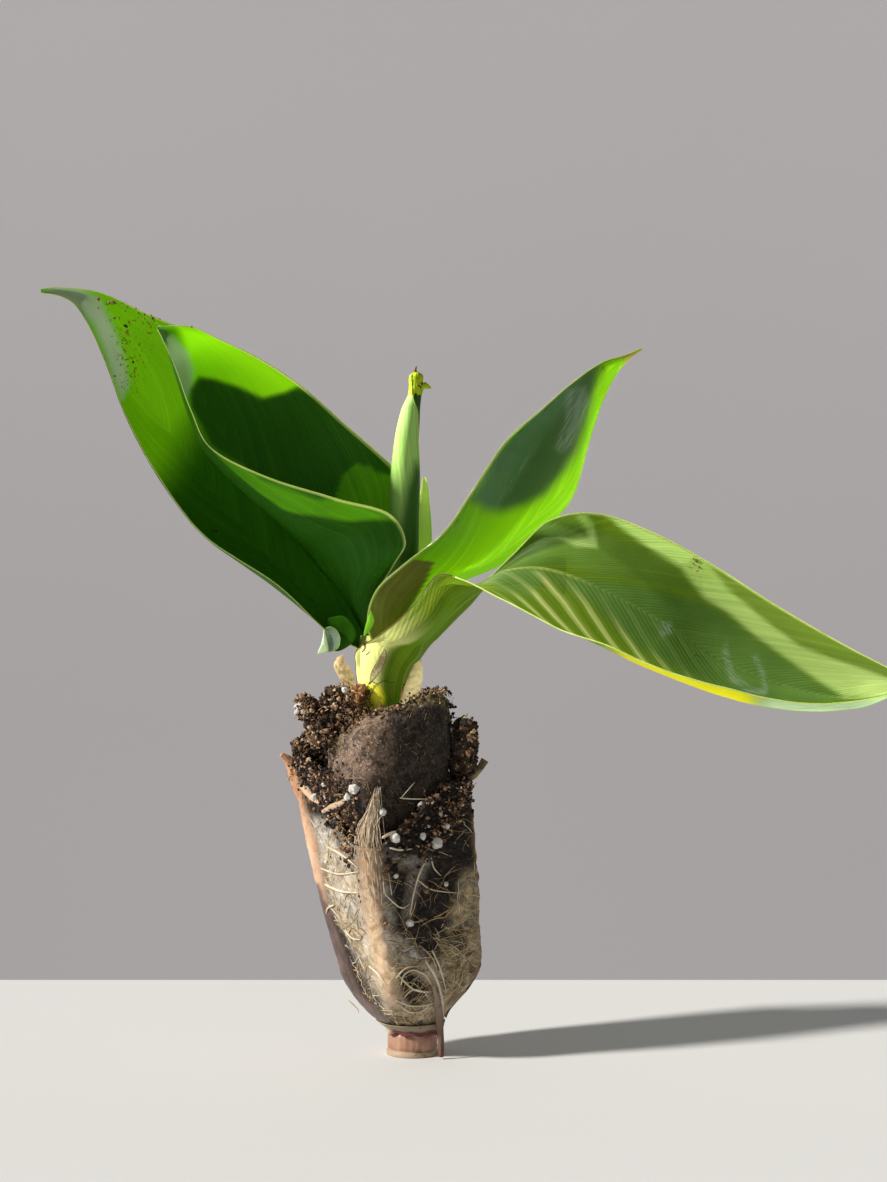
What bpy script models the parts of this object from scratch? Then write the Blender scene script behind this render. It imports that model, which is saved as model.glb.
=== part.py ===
"""Young canna lily standing on its root ball.

Sizes in the tables are millimetres and become metres where a mesh is made. The origin is on
the foot's flat underside, +X is to the right of the front view and +Z is up. The front view
looks along +Y.
"""
import math
from collections import namedtuple

import bmesh
import bpy
from mathutils import Vector, noise

MM = 0.001
GAP = 0.3

# foot: a short turned collar that the whole plant stands on
COLLAR_CENTRE = -0.7
COLLAR_RADIUS = 6.9
COLLAR_HEIGHT = 6.9
RIM_RADIUS = 7.3
RIM_HEIGHT = 1.5
RIM_CHAMFER = 0.2
COLLAR_STEPS = 32

# root ball: a square cell of compost, turned about Z, that narrows to the collar
CELL_TURN = math.radians(30)
Section = namedtuple("Section", "height centre side squareness")
CELL_SECTIONS = (
    Section(7.2, 0.0, 16.0, 2.0),
    Section(12.0, -2.4, 21.6, 3.0),
    Section(19.0, -2.3, 29.6, 5.0),
    Section(25.0, -1.7, 32.6, 8.0),
    Section(36.0, -3.5, 34.6, 10.0),
    Section(48.0, -5.2, 36.8, 10.0),
    Section(61.0, -7.2, 38.5, 10.0),
    Section(86.0, -10.4, 39.8, 10.0),
)
SOIL_STEPS = 40
SOIL_ROWS = 12
SOIL_ROUGHNESS = 0.8
SOIL_SLACK = 0.7
SOIL_SHIFT = 0.5

# liner: thin film round the compost, with a torn top edge
FILM_THICKNESS = 0.8
FILM_STEPS = 48
FILM_ROWS = 12

# heights at the right, far, left and near corners of the film's tear and the compost's brim
FILM_EDGE = (75.0, 70.0, 82.0, 58.0)
FILM_TEAR = 2.2
SOIL_BRIM = (77.0, 76.0, 86.5, 61.0)
SOIL_CRUMBLE = 2.0

# peat plug: the older, smaller plug that the compost broke away from at the top
PLUG_FLOOR = 58.0
PLUG_SECTIONS = (
    Section(PLUG_FLOOR + GAP, -7.2, 27.5, 5.0),
    Section(68.0, -7.6, 29.5, 5.5),
    Section(78.0, -8.2, 30.2, 5.5),
    Section(88.0, -8.0, 31.0, 5.0),
    Section(101.0, -7.6, 29.0, 4.5),
)
PLUG_STEPS = 40
PLUG_ROWS = 9
PLUG_ROUGHNESS = 0.7
PLUG_TOP = 95.4
PLUG_TOP_X = -9.0
PLUG_TOP_SLOPE = 0.34

# clods: loose lumps of compost left on the plug's shoulders, and a stub of twig in one
Lump = namedtuple("Lump", "x y z radius")
LEFT_CLOD = (
    Lump(-29.6, -4.0, 97.2, 3.8),
    Lump(-26.4, -3.5, 92.6, 5.0),
    Lump(-22.6, -3.5, 99.0, 4.6),
    Lump(-19.0, -2.5, 98.8, 4.2),
)
RIGHT_CLOD = (
    Lump(14.2, -3.5, 90.8, 4.0),
    Lump(13.6, -3.5, 86.2, 4.7),
    Lump(13.4, -3.0, 81.6, 4.8),
)
LUMP_ROUGHNESS = 1.4
LUMP_SUBDIVISIONS = 2
TWIG_PATH = ((17.9, -3.5, 79.6), (19.2, -4.0, 81.6), (20.6, -4.2, 84.0))
TWIG_RADIUS = 0.8

# pseudostem: sheaths rolled into one short trunk that widens towards the leaves
Oval = namedtuple("Oval", "height centre depth half_width half_depth")
STEM_SECTIONS = (
    Oval(88.0, -8.8, 0.0, 5.0, 4.8),
    Oval(95.0, -8.7, 0.0, 5.4, 5.2),
    Oval(101.0, -9.3, 0.0, 6.6, 6.0),
    Oval(107.0, -8.8, 0.0, 7.6, 6.6),
    Oval(112.2, -7.8, 0.0, 8.5, 7.4),
)
STEM_STEPS = 32

# spear and bud: rolled young leaves in the middle, the spear with a blunt withered top
SPEAR_SECTIONS = (
    Oval(112.5, -7.8, -0.3, 2.8, 2.5),
    Oval(125.0, -5.4, -1.2, 3.6, 3.4),
    Oval(138.6, -3.4, -1.2, 4.2, 4.0),
    Oval(153.0, -3.2, -1.2, 4.4, 4.2),
    Oval(168.0, -2.5, -1.2, 4.0, 3.8),
    Oval(180.0, -1.1, -1.2, 2.9, 2.7),
    Oval(185.0, 0.2, -1.2, 2.0, 1.9),
    Oval(189.5, 0.4, -1.2, 1.9, 1.6),
    Oval(190.3, 0.4, -1.2, 1.1, 0.9),
)
BUD_SECTIONS = (
    Oval(112.5, -3.9, 0.5, 0.6, 1.5),
    Oval(122.0, -1.2, 2.6, 0.9, 1.8),
    Oval(132.0, 1.6, 3.8, 1.3, 1.8),
    Oval(145.0, 2.9, 3.9, 1.8, 1.8),
    Oval(153.0, 3.2, 3.8, 1.5, 1.5),
    Oval(161.0, 3.1, 3.6, 0.5, 0.5),
)
ROLL_STEPS = 20

# the leaves' sheaths leave the stem's top as arcs of three nested rings
RING_HEIGHT = 112.5
RING_CENTRE = -7.8
OUTER_RING = (7.2, 6.1)
MIDDLE_RING = (5.3, 4.6)
INNER_RING = (3.7, 3.2)
RING_REACH = 40.0
RING_DEPTH = 6.0

# a station is one cross-section of a leaf: near margin, rib and far margin, and how far each
# half bellies out from the straight line between them
Station = namedtuple("Station", "near rib far near_bow far_bow")


def sheath_base(ring, angles, near_bow, far_bow):
    """The first station of a leaf, on a ring at the stem's top."""
    points = []
    for degrees in angles:
        angle = math.radians(degrees)
        x = RING_CENTRE + ring[0] * math.cos(angle)
        points.append((x, ring[1] * math.sin(angle), RING_HEIGHT))
    return Station(*points, near_bow, far_bow)


OUTER_LEFT = (
    sheath_base(OUTER_RING, (208, 170, 105), 0.4, 1.0),
    Station((-24, -6.5, 118), (-21, 2, 121.5), (-11, 9.5, 128), 1.5, 1.5),
    Station((-36.5, -10, 130), (-35, 6, 133.5), (-13, 12, 156), 3, 3),
    Station((-57, -14, 144.5), (-52, 10, 151.5), (-25, 9.5, 178.5), 4, 4.5),
    Station((-69, -14, 159.5), (-64.5, 11, 167.5), (-38, 7.5, 188.5), 4, 5),
    Station((-79, -10, 177), (-76, 10, 184), (-56, 6.5, 199.5), 3, 3.5),
    Station((-86.5, -3, 194), (-84.5, 8, 198.5), (-75, 8, 207.5), 2, 2),
    Station((-94.5, 1, 208.5), (-93, 5, 211.5), (-90, 6, 214), 0.8, 0.8),
    Station((-100, 3.5, 212.5), (-100.5, 4.5, 214), (-101, 4.5, 215), 0.2, 0.2),
    Station((-105.5, 4, 213.5), (-105.5, 4, 214), (-105.5, 4, 214.5), 0, 0),
)
INNER_LEFT = (
    sheath_base(INNER_RING, (266, 180, 95), 0.8, 0.9),
    Station((-12, -5.5, 125), (-17, -0.5, 123.5), (-10, 5.5, 129.5), 2, 2),
    Station((-5.5, -8.5, 137), (-22, 0, 131), (-4, 7, 144), 5, 4),
    Station((-2.5, -11, 143), (-26, -1, 135.5), (-2, 7.5, 153), 6, 4),
    Station((-7, -15, 150.5), (-30.5, -2, 141), (-3.5, 7, 160.5), 6, 4),
    Station((-20, -22, 154), (-35.5, -3, 146), (-7.5, 5.5, 165.5), 6, 4),
    Station((-39.5, -27, 160), (-44.5, -4, 159), (-20, 2, 176.5), 5.5, 4),
    Station((-54.5, -24, 168), (-52.5, -3, 172.5), (-32, 1, 187), 4.5, 4),
    Station((-61, -17, 179), (-59.5, -2, 183), (-43.5, 1, 194.5), 3, 3),
    Station((-66, -8, 191), (-65.5, -1, 192.5), (-55, 1, 200), 1.5, 2),
    Station((-70, -3, 199), (-69, -1, 200), (-63.5, 0, 203.5), 0.5, 0.8),
    Station((-72, 0, 202.5), (-72, 0, 203), (-72, 0, 203.5), 0, 0),
)
UPPER_RIGHT = (
    sheath_base(MIDDLE_RING, (240, 350, 410), 2.2, 0.7),
    Station((-13, -7.5, 120), (-1, -1, 122), (1, 6, 125), 3, 1),
    Station((-10.5, -10, 129.5), (6, 3, 130), (7, 10, 133), 4, 1.5),
    Station((-2.5, -10, 137), (14, 4, 134), (14, 14, 135), 4.5, 2),
    Station((7.5, -8, 145), (22.5, 3, 139.5), (24.5, 18, 139), 4.5, 2.5),
    Station((16, -8, 157), (33, 2, 149.5), (36.5, 21, 149), 4.5, 3),
    Station((25, -8, 170.5), (40.5, 2, 158), (43.5, 22, 157), 4.5, 3),
    Station((35.5, -6, 180), (46, 3, 172), (48, 19, 172), 3.5, 2.5),
    Station((44, -3, 187.5), (50, 4, 183), (52, 15, 183), 2, 2),
    Station((52.5, 1, 193.5), (55.5, 5, 191.5), (57, 10, 191.5), 1, 1),
    Station((59.5, 4, 196), (60.5, 5, 195.5), (61, 7, 195.5), 0.3, 0.3),
    Station((64, 4.5, 198), (64, 5, 197.5), (64, 5.5, 197.5), 0, 0),
)
FAR_RIGHT = (
    sheath_base(OUTER_RING, (225, 325, 415), 2.8, 2.0),
    Station((-9.6, -11.6, 117.2), (1.5, -4, 115.5), (4.5, 4, 118.5), 3, 2),
    Station((-0.5, -11, 125), (7, -4, 122), (10.5, 2, 123.5), 3, 1.5),
    Station((6, -10.5, 133.5), (12, -4, 126.5), (16, 1.5, 128.5), 2.5, 1.5),
    Station((13, -13, 132.5), (17.5, -5, 131), (20.5, 1.5, 132.5), 1.5, 1),
    Station((23.5, -19, 127.5), (25, -7, 135), (27.5, 2, 139.5), 1.5, 1.5),
    Station((35, -26, 121), (36, -9, 135.5), (37.5, 2, 149), 2.5, 2),
    Station((49.5, -31, 114), (51, -11, 130), (51, 1, 151), 3, 2),
    Station((66.5, -33, 106.5), (67.5, -13, 121), (67, 0, 145.5), 3, 2),
    Station((84, -32, 101.5), (83.5, -14, 110.5), (83.5, -1, 136.5), 3, 2),
    Station((103.5, -27, 97.5), (101, -15, 103.5), (101, -5, 125), 2, 2),
    Station((120.5, -20, 98), (118.5, -15, 100), (118.5, -9, 114.5), 1, 1.5),
    Station((130.5, -17, 101), (130, -15.5, 102), (130.5, -12.5, 108), 0.4, 0.8),
    Station((138, -14, 103.5), (138, -14, 104), (138, -14, 104.5), 0, 0),
)

# papery remains of the first sheaths, at the trunk's right and left
DRY_RIGHT = (
    Station((-1.2, -3.8, 98.4), (0.2, -0.5, 98.4), (-1.0, 3.2, 98.4), 0.5, 0.5),
    Station((0.4, -3.4, 104.5), (1.6, -0.2, 104.5), (0.7, 3, 104.5), 0.4, 0.4),
    Station((0.9, -1.6, 108), (1.5, 0, 108), (1.1, 1.6, 108), 0.2, 0.2),
    Station((1.1, -0.4, 110.2), (1.1, 0, 110.2), (1.1, 0.4, 110.2), 0, 0),
)
DRY_LEFT = (
    Station((-16.8, -3, 103.4), (-17.2, -1.8, 104.6), (-16.9, -0.6, 105.8), 0.2, 0.2),
    Station((-19.4, -3.6, 104.6), (-19.8, -2.4, 106.8), (-19.2, -1.4, 108.6), 0.3, 0.3),
    Station((-22.4, -3.6, 108.2), (-22, -2.6, 110), (-20.6, -1.8, 111.2), 0.2, 0.2),
)

# side is 1 for a leaf that grows to the left, -1 for one that grows to the right
# start and end are the stretch of the rib that a piece covers, and a belly of 2 curls the margin
Leaf = namedtuple("Leaf", "name stations side belly rib margin start end rows material")
BEND = 0.226
BEND_GAP = 0.008
LEAVES = (
    Leaf("leaf_outer_left", OUTER_LEFT, 1, 1.0, 2.2, 1.45, 0.0, 1.0, 22, "leaf"),
    Leaf("leaf_inner_left", INNER_LEFT, 1, 1.0, 1.4, 1.2, 0.0, 1.0, 22, "leaf"),
    Leaf("leaf_upper_right", UPPER_RIGHT, -1, 1.0, 1.6, 1.15, 0.0, 1.0, 22, "leaf"),
    Leaf("stalk_far_right", FAR_RIGHT, -1, 2.0, 3.0, 1.4, 0.0, BEND, 7, "leaf"),
    Leaf("leaf_far_right", FAR_RIGHT, -1, 2.0, 3.0, 1.4, BEND + BEND_GAP, 1.0, 18, "leaf"),
    Leaf("dry_sheath_right", DRY_RIGHT, -1, 1.0, 0.8, 0.6, 0.0, 1.0, 6, "dry_sheath"),
    Leaf("dry_sheath_left", DRY_LEFT, 1, 1.0, 0.8, 0.6, 0.0, 1.0, 4, "dry_sheath"),
)
HALF_COLUMNS = 4

COLOURS = {
    "leaf": ((0.10, 0.30, 0.04), 0.45),
    "spear": ((0.25, 0.50, 0.12), 0.50),
    "stem": ((0.55, 0.60, 0.20), 0.45),
    "dry_sheath": ((0.52, 0.38, 0.24), 0.85),
    "peat": ((0.06, 0.045, 0.035), 0.95),
    "compost": ((0.04, 0.03, 0.02), 0.95),
    "film": ((0.62, 0.36, 0.24), 0.40),
    "collar": ((0.62, 0.38, 0.28), 0.50),
    "twig": ((0.12, 0.09, 0.05), 0.90),
}


def clear_scene():
    for item in list(bpy.data.objects):
        bpy.data.objects.remove(item, do_unlink=True)


def make_collection(name):
    group = bpy.data.collections.new(name)
    bpy.context.scene.collection.children.link(group)
    return group


def make_material(name):
    colour, roughness = COLOURS[name]
    material = bpy.data.materials.new(name)
    material.use_nodes = True
    shader = material.node_tree.nodes["Principled BSDF"]
    shader.inputs["Base Color"].default_value = (*colour, 1.0)
    shader.inputs["Roughness"].default_value = roughness
    shader.inputs["Metallic"].default_value = 0.0
    return material


def make_object(name, points, faces, material, group):
    """Points in millimetres become a mesh object in metres."""
    mesh = bpy.data.meshes.new(name)
    mesh.from_pydata([Vector(point) * MM for point in points], [], faces)
    mesh.materials.append(material)
    item = bpy.data.objects.new(name, mesh)
    group.objects.link(item)
    return item


def face_outwards(item):
    sheet = bmesh.new()
    sheet.from_mesh(item.data)
    bmesh.ops.recalc_face_normals(sheet, faces=sheet.faces)
    if sheet.calc_volume(signed=True) < 0:
        bmesh.ops.reverse_faces(sheet, faces=sheet.faces)
    sheet.to_mesh(item.data)
    sheet.free()


def hide_cutter(cutter):
    cutter.hide_render = True
    cutter.display_type = "WIRE"


def cut(item, cutter):
    """Takes the cutter's shape out of the item."""
    taken = item.modifiers.new("clear of " + cutter.name, "BOOLEAN")
    taken.operation = "DIFFERENCE"
    taken.object = cutter
    taken.solver = "EXACT"


def smooth_value(knots, values, at):
    """A cubic through values at uneven knots, for numbers or vectors."""
    last = len(knots) - 1
    span = 0
    while span < last - 1 and at > knots[span + 1]:
        span += 1

    def slope(index):
        before, after = max(index - 1, 0), min(index + 1, last)
        return (values[after] - values[before]) / (knots[after] - knots[before])

    width = knots[span + 1] - knots[span]
    t = (at - knots[span]) / width
    position = values[span] * (2 * t**3 - 3 * t**2 + 1) + values[span + 1] * (3 * t**2 - 2 * t**3)
    leaving = slope(span) * (width * (t**3 - 2 * t**2 + t))
    arriving = slope(span + 1) * (width * (t**3 - t**2))
    return position + leaving + arriving


def loft_rings(name, rings, material, group):
    """Closed rings of equal length, joined in order, with flat caps."""
    count = len(rings[0])
    points = [point for ring in rings for point in ring]
    faces = []
    for row in range(len(rings) - 1):
        for step in range(count):
            after = (step + 1) % count
            low, high = row * count, (row + 1) * count
            faces.append((low + step, low + after, high + after, high + step))
    faces.append(tuple(reversed(range(count))))
    top = (len(rings) - 1) * count
    faces.append(tuple(top + step for step in range(count)))
    item = make_object(name, points, faces, material, group)
    face_outwards(item)
    return item


def section_at(sections, height):
    knots = [section.height for section in sections]
    fields = []
    for field in ("centre", "side", "squareness"):
        values = [getattr(section, field) for section in sections]
        fields.append(smooth_value(knots, values, height))
    return Section(height, *fields)


def square_point(section, angle, inset=0.0, shift=0.0):
    """A point on a rounded square section, which is round at squareness 2."""
    power = section.squareness
    corner = (abs(math.cos(angle)) ** power + abs(math.sin(angle)) ** power) ** (-1 / power)
    radius = section.side / 2 * corner - inset
    turned = angle + CELL_TURN
    x = section.centre + shift + radius * math.cos(turned)
    return Vector((x, radius * math.sin(turned), section.height))


def torn_height(corners, angle, tear):
    """A torn edge that passes near a height at each corner of the square."""
    place = (angle / (math.pi / 2) + 0.5) % 4
    first = int(place)
    share = place - first
    ease = share * share * (3 - 2 * share)
    level = corners[first] * (1 - ease) + corners[(first + 1) % 4] * ease
    ragged = noise.noise(Vector((math.cos(angle), math.sin(angle), 0.3)) * 4.0)
    return level + tear * ragged


def wear(point, scale, amount):
    """Unevenness that only takes material away."""
    return amount * (0.5 + 0.5 * noise.noise(Vector(point) * scale))


def build_collar(material, group):
    """Turned foot with a flat underside and a low rim."""
    profile = (
        (0.0, COLLAR_HEIGHT),
        (COLLAR_RADIUS, COLLAR_HEIGHT),
        (COLLAR_RADIUS, RIM_HEIGHT),
        (RIM_RADIUS, RIM_HEIGHT - RIM_CHAMFER),
        (RIM_RADIUS, RIM_CHAMFER),
        (RIM_RADIUS - RIM_CHAMFER, 0.0),
        (0.0, 0.0),
    )
    mesh = bpy.data.meshes.new("collar")
    edges = [(index, index + 1) for index in range(len(profile) - 1)]
    mesh.from_pydata([(radius * MM, 0.0, height * MM) for radius, height in profile], edges, [])
    mesh.materials.append(material)
    collar = bpy.data.objects.new("collar", mesh)
    collar.location.x = COLLAR_CENTRE * MM
    group.objects.link(collar)
    turn = collar.modifiers.new("turn", "SCREW")
    turn.steps = COLLAR_STEPS
    turn.render_steps = COLLAR_STEPS
    turn.use_merge_vertices = True
    turn.merge_threshold = 0.00001
    return collar


def build_film(material, group):
    """Thin liner round the compost, open at its torn top and at the collar."""
    low = CELL_SECTIONS[0].height
    outer, inner = [], []
    for row in range(FILM_ROWS + 1):
        for step in range(FILM_STEPS):
            angle = 2 * math.pi * step / FILM_STEPS
            edge = torn_height(FILM_EDGE, angle, FILM_TEAR)
            section = section_at(CELL_SECTIONS, low + (edge - low) * row / FILM_ROWS)
            outer.append(square_point(section, angle))
            inner.append(square_point(section, angle, FILM_THICKNESS))
    behind = len(outer)
    top = FILM_ROWS * FILM_STEPS
    faces = []
    for step in range(FILM_STEPS):
        after = (step + 1) % FILM_STEPS
        for row in range(FILM_ROWS):
            low_left, low_right = row * FILM_STEPS + step, row * FILM_STEPS + after
            high_left, high_right = low_left + FILM_STEPS, low_right + FILM_STEPS
            wall = (low_left, low_right, high_right, high_left)
            faces.append(wall)
            faces.append(tuple(behind + corner for corner in reversed(wall)))
        faces.append((after, step, behind + step, behind + after))
        faces.append((top + step, top + after, behind + top + after, behind + top + step))
    film = make_object("film_liner", outer + inner, faces, material, group)
    face_outwards(film)
    return film


def build_root_ball(material, group):
    """Compost that fills the film, with a crumbled brim round the peat plug."""
    low = CELL_SECTIONS[0].height
    angles = [2 * math.pi * step / SOIL_STEPS for step in range(SOIL_STEPS)]
    brims = [torn_height(SOIL_BRIM, angle, SOIL_CRUMBLE) for angle in angles]
    rings = []
    for row in range(SOIL_ROWS + 1):
        share = row / SOIL_ROWS
        loose = min(1.0, 4 * share)
        ring = []
        for angle, brim in zip(angles, brims):
            section = section_at(CELL_SECTIONS, low + (brim - low) * share)
            worn = wear(square_point(section, angle), 0.16, SOIL_ROUGHNESS)
            inset = FILM_THICKNESS + GAP + SOIL_SLACK * loose + worn
            ring.append(square_point(section, angle, inset, SOIL_SHIFT * loose))
        rings.append(ring)
    socket = []
    for angle, brim in zip(angles, brims):
        section = section_at(PLUG_SECTIONS, max(brim, PLUG_FLOOR + GAP))
        socket.append(square_point(section, angle, -GAP))
    floor = [square_point(PLUG_SECTIONS[0], angle, -GAP) for angle in angles]
    for point in floor:
        point.z = PLUG_FLOOR
    middle = [socket[index].lerp(floor[index], 0.5) for index in range(SOIL_STEPS)]
    for index, angle in enumerate(angles):
        section = section_at(PLUG_SECTIONS, middle[index].z)
        middle[index] = square_point(section, angle, -GAP)
    rings += [socket, middle, floor]
    return loft_rings("root_ball", rings, material, group)


def plug_top_height(point):
    return PLUG_TOP + (point[0] - PLUG_TOP_X) * PLUG_TOP_SLOPE


def build_plug(name, grow, material, group):
    """Peat plug in the compost, with a top that rises to the right."""
    low = PLUG_SECTIONS[0].height - grow
    rings = []
    for row in range(PLUG_ROWS + 1):
        share = row / PLUG_ROWS
        ring = []
        for step in range(PLUG_STEPS):
            angle = 2 * math.pi * step / PLUG_STEPS
            top = plug_top_height(square_point(section_at(PLUG_SECTIONS, PLUG_TOP), angle)) + grow
            section = section_at(PLUG_SECTIONS, low + (top - low) * share)
            worn = wear(square_point(section, angle), 0.2, PLUG_ROUGHNESS)
            ring.append(square_point(section, angle, worn - grow))
        rings.append(ring)
    return loft_rings(name, rings, material, group)


def build_ovals(name, sections, steps, material, group):
    """Solid through oval sections."""
    rings = []
    for oval in sections:
        ring = []
        for step in range(steps):
            angle = 2 * math.pi * step / steps
            x = oval.centre + oval.half_width * math.cos(angle)
            y = oval.depth + oval.half_depth * math.sin(angle)
            ring.append((x, y, oval.height))
        rings.append(ring)
    return loft_rings(name, rings, material, group)


def build_ring_floor(material, group):
    """Slab under the rings, which trims the sheaths level with the stem's top."""
    slab = bmesh.new()
    bmesh.ops.create_cube(slab, size=1.0)
    size = Vector((RING_REACH, RING_REACH, RING_DEPTH)) * MM
    centre = Vector((RING_CENTRE, 0.0, RING_HEIGHT - RING_DEPTH / 2)) * MM
    for corner in slab.verts:
        corner.co = Vector([place * side for place, side in zip(corner.co, size)]) + centre
    mesh = bpy.data.meshes.new("ring floor")
    slab.to_mesh(mesh)
    slab.free()
    mesh.materials.append(material)
    item = bpy.data.objects.new("ring floor", mesh)
    group.objects.link(item)
    return item


def build_lump(lump, material, group):
    ball = bmesh.new()
    bmesh.ops.create_icosphere(ball, subdivisions=LUMP_SUBDIVISIONS, radius=lump.radius * MM)
    place = Vector((lump.x, lump.y, lump.z)) * MM
    for vertex in ball.verts:
        dent = wear(vertex.co / MM + place / MM, 0.45, LUMP_ROUGHNESS)
        vertex.co = vertex.co * (1 - dent / lump.radius) + place
    mesh = bpy.data.meshes.new("lump")
    ball.to_mesh(mesh)
    ball.free()
    mesh.materials.append(material)
    item = bpy.data.objects.new("lump", mesh)
    group.objects.link(item)
    return item


def build_clod(name, lumps, material, group, cutters):
    """Several lumps joined into one clod."""
    clod = build_lump(lumps[0], material, group)
    clod.name = name
    for lump in lumps[1:]:
        more = build_lump(lump, material, cutters)
        hide_cutter(more)
        join = clod.modifiers.new("join " + more.name, "BOOLEAN")
        join.operation = "UNION"
        join.object = more
        join.solver = "EXACT"
    return clod


def build_twig(material, group):
    curve = bpy.data.curves.new("twig", "CURVE")
    curve.dimensions = "3D"
    curve.bevel_depth = TWIG_RADIUS * MM
    curve.bevel_resolution = 2
    curve.use_fill_caps = True
    spline = curve.splines.new("POLY")
    spline.points.add(len(TWIG_PATH) - 1)
    for place, point in zip(TWIG_PATH, spline.points):
        point.co = (*(Vector(place) * MM), 1.0)
    curve.materials.append(material)
    twig = bpy.data.objects.new("twig", curve)
    group.objects.link(twig)
    return twig


def half_section(rib, edge, outward, bow, power):
    """Points from the rib to one margin, bellied outwards."""
    peak = (power / (power + 1)) ** power / (power + 1)
    points = []
    for column in range(HALF_COLUMNS + 1):
        part = column / HALF_COLUMNS
        swell = part**power * (1 - part) / peak
        points.append(rib.lerp(edge, part) + outward * (bow * swell))
    return points


def leaf_grid(leaf):
    """Rows of points over the inner face, from the near margin across the rib to the far one."""
    stations = leaf.stations
    knots = [0.0]
    for before, after in zip(stations, stations[1:]):
        knots.append(knots[-1] + (Vector(after.rib) - Vector(before.rib)).length)
    length = knots[-1]

    def rail(field, at):
        return smooth_value(knots, [Vector(getattr(item, field)) for item in stations], at)

    def bow(field, at):
        return max(0.0, smooth_value(knots, [getattr(item, field) for item in stations], at))

    grid = []
    for row in range(leaf.rows + 1):
        share = leaf.start + (leaf.end - leaf.start) * row / leaf.rows
        at = length * share
        near, rib, far = rail("near", at), rail("rib", at), rail("far", at)
        ahead = rail("rib", min(at + length / 100, length))
        forward = (ahead - rail("rib", max(at - length / 100, 0.0))).normalized()
        power = 1.0 + (leaf.belly - 1.0) * min(1.0, 4 * share)
        near_out = (near - rib).cross(forward).normalized() * leaf.side
        far_out = forward.cross(far - rib).normalized() * leaf.side
        near_half = half_section(rib, near, near_out, bow("near_bow", at), power)
        far_half = half_section(rib, far, far_out, bow("far_bow", at), power)
        grid.append(near_half[:0:-1] + far_half)
    return grid


def build_leaf(leaf, material, group):
    """Open loft of the inner face, made solid away from it, thicker along the rib."""
    grid = leaf_grid(leaf)
    across = len(grid[0])
    faces = []
    for row in range(leaf.rows):
        for column in range(across - 1):
            corner = row * across + column
            quad = (corner, corner + 1, corner + across + 1, corner + across)
            faces.append(quad if leaf.side > 0 else tuple(reversed(quad)))
    points = [point for line in grid for point in line]
    blade = make_object(leaf.name, points, faces, material, group)
    weights = blade.vertex_groups.new(name="thickness")
    for row in range(leaf.rows + 1):
        share = leaf.start + (leaf.end - leaf.start) * row / leaf.rows
        rib = leaf.rib + (leaf.margin - leaf.rib) * share
        for column in range(across):
            from_rib = abs(column - HALF_COLUMNS) / HALF_COLUMNS
            depth = max(leaf.margin, rib + (leaf.margin - rib) * 2 * from_rib)
            weights.add([row * across + column], depth / leaf.rib, "REPLACE")
    solid = blade.modifiers.new("thickness", "SOLIDIFY")
    solid.thickness = leaf.rib * MM
    solid.offset = -1.0
    solid.vertex_group = "thickness"
    return blade


def main():
    clear_scene()
    parts = make_collection("canna lily")
    cutters = make_collection("cutters")
    materials = {name: make_material(name) for name in COLOURS}
    build_collar(materials["collar"], parts)
    build_film(materials["film"], parts)
    build_root_ball(materials["compost"], parts)
    build_plug("peat_plug", 0.0, materials["peat"], parts)
    plug_room = build_plug("plug room", GAP, materials["peat"], cutters)
    hide_cutter(plug_room)
    stem = build_ovals("stem", STEM_SECTIONS, STEM_STEPS, materials["stem"], parts)
    cut(stem, plug_room)
    for name, lumps in (("clod_left", LEFT_CLOD), ("clod_right", RIGHT_CLOD)):
        clod = build_clod(name, lumps, materials["compost"], parts, cutters)
        cut(clod, plug_room)
    build_twig(materials["twig"], parts)
    build_ovals("leaf_spear", SPEAR_SECTIONS, ROLL_STEPS, materials["spear"], parts)
    build_ovals("leaf_bud", BUD_SECTIONS, ROLL_STEPS, materials["spear"], parts)
    ring_floor = build_ring_floor(materials["leaf"], cutters)
    hide_cutter(ring_floor)
    for leaf in LEAVES:
        blade = build_leaf(leaf, materials[leaf.material], parts)
        cut(blade, ring_floor if leaf.material == "leaf" else plug_room)


main()
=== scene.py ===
"""Looks of the young canna lily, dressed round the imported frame. Tables are in millimetres."""
import math
from collections import namedtuple

import bmesh
import bpy
import numpy as np
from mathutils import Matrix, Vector, noise

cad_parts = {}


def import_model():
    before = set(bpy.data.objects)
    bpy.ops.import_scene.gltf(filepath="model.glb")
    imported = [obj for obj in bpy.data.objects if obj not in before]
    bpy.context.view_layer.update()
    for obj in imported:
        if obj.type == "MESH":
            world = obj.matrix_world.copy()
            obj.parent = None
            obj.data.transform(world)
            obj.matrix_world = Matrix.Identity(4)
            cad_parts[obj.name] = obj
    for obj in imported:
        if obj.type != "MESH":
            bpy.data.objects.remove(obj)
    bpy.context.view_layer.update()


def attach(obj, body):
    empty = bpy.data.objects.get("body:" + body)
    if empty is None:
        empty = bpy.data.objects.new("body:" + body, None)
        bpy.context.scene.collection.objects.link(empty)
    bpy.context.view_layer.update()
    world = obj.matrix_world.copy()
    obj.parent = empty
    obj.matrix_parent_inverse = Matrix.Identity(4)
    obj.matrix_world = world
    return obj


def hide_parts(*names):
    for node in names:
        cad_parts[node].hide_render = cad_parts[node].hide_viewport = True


MM = 0.001
TAU = 2 * math.pi

# the photo's frame: 0.28 mm a pixel at Y = 0, seen from 600 mm away
PHOTO_CENTRE = (443.5, 591.0)
EYE = (8.0, -600.0, 129.4)
FOCAL = 2143.0


def to_photo(point):
    """Pixel of the photo where a point in millimetres shows."""
    scale = FOCAL / (point[1] - EYE[1])
    return PHOTO_CENTRE[0] + (point[0] - EYE[0]) * scale, PHOTO_CENTRE[1] - (point[2] - EYE[2]) * scale


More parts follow.
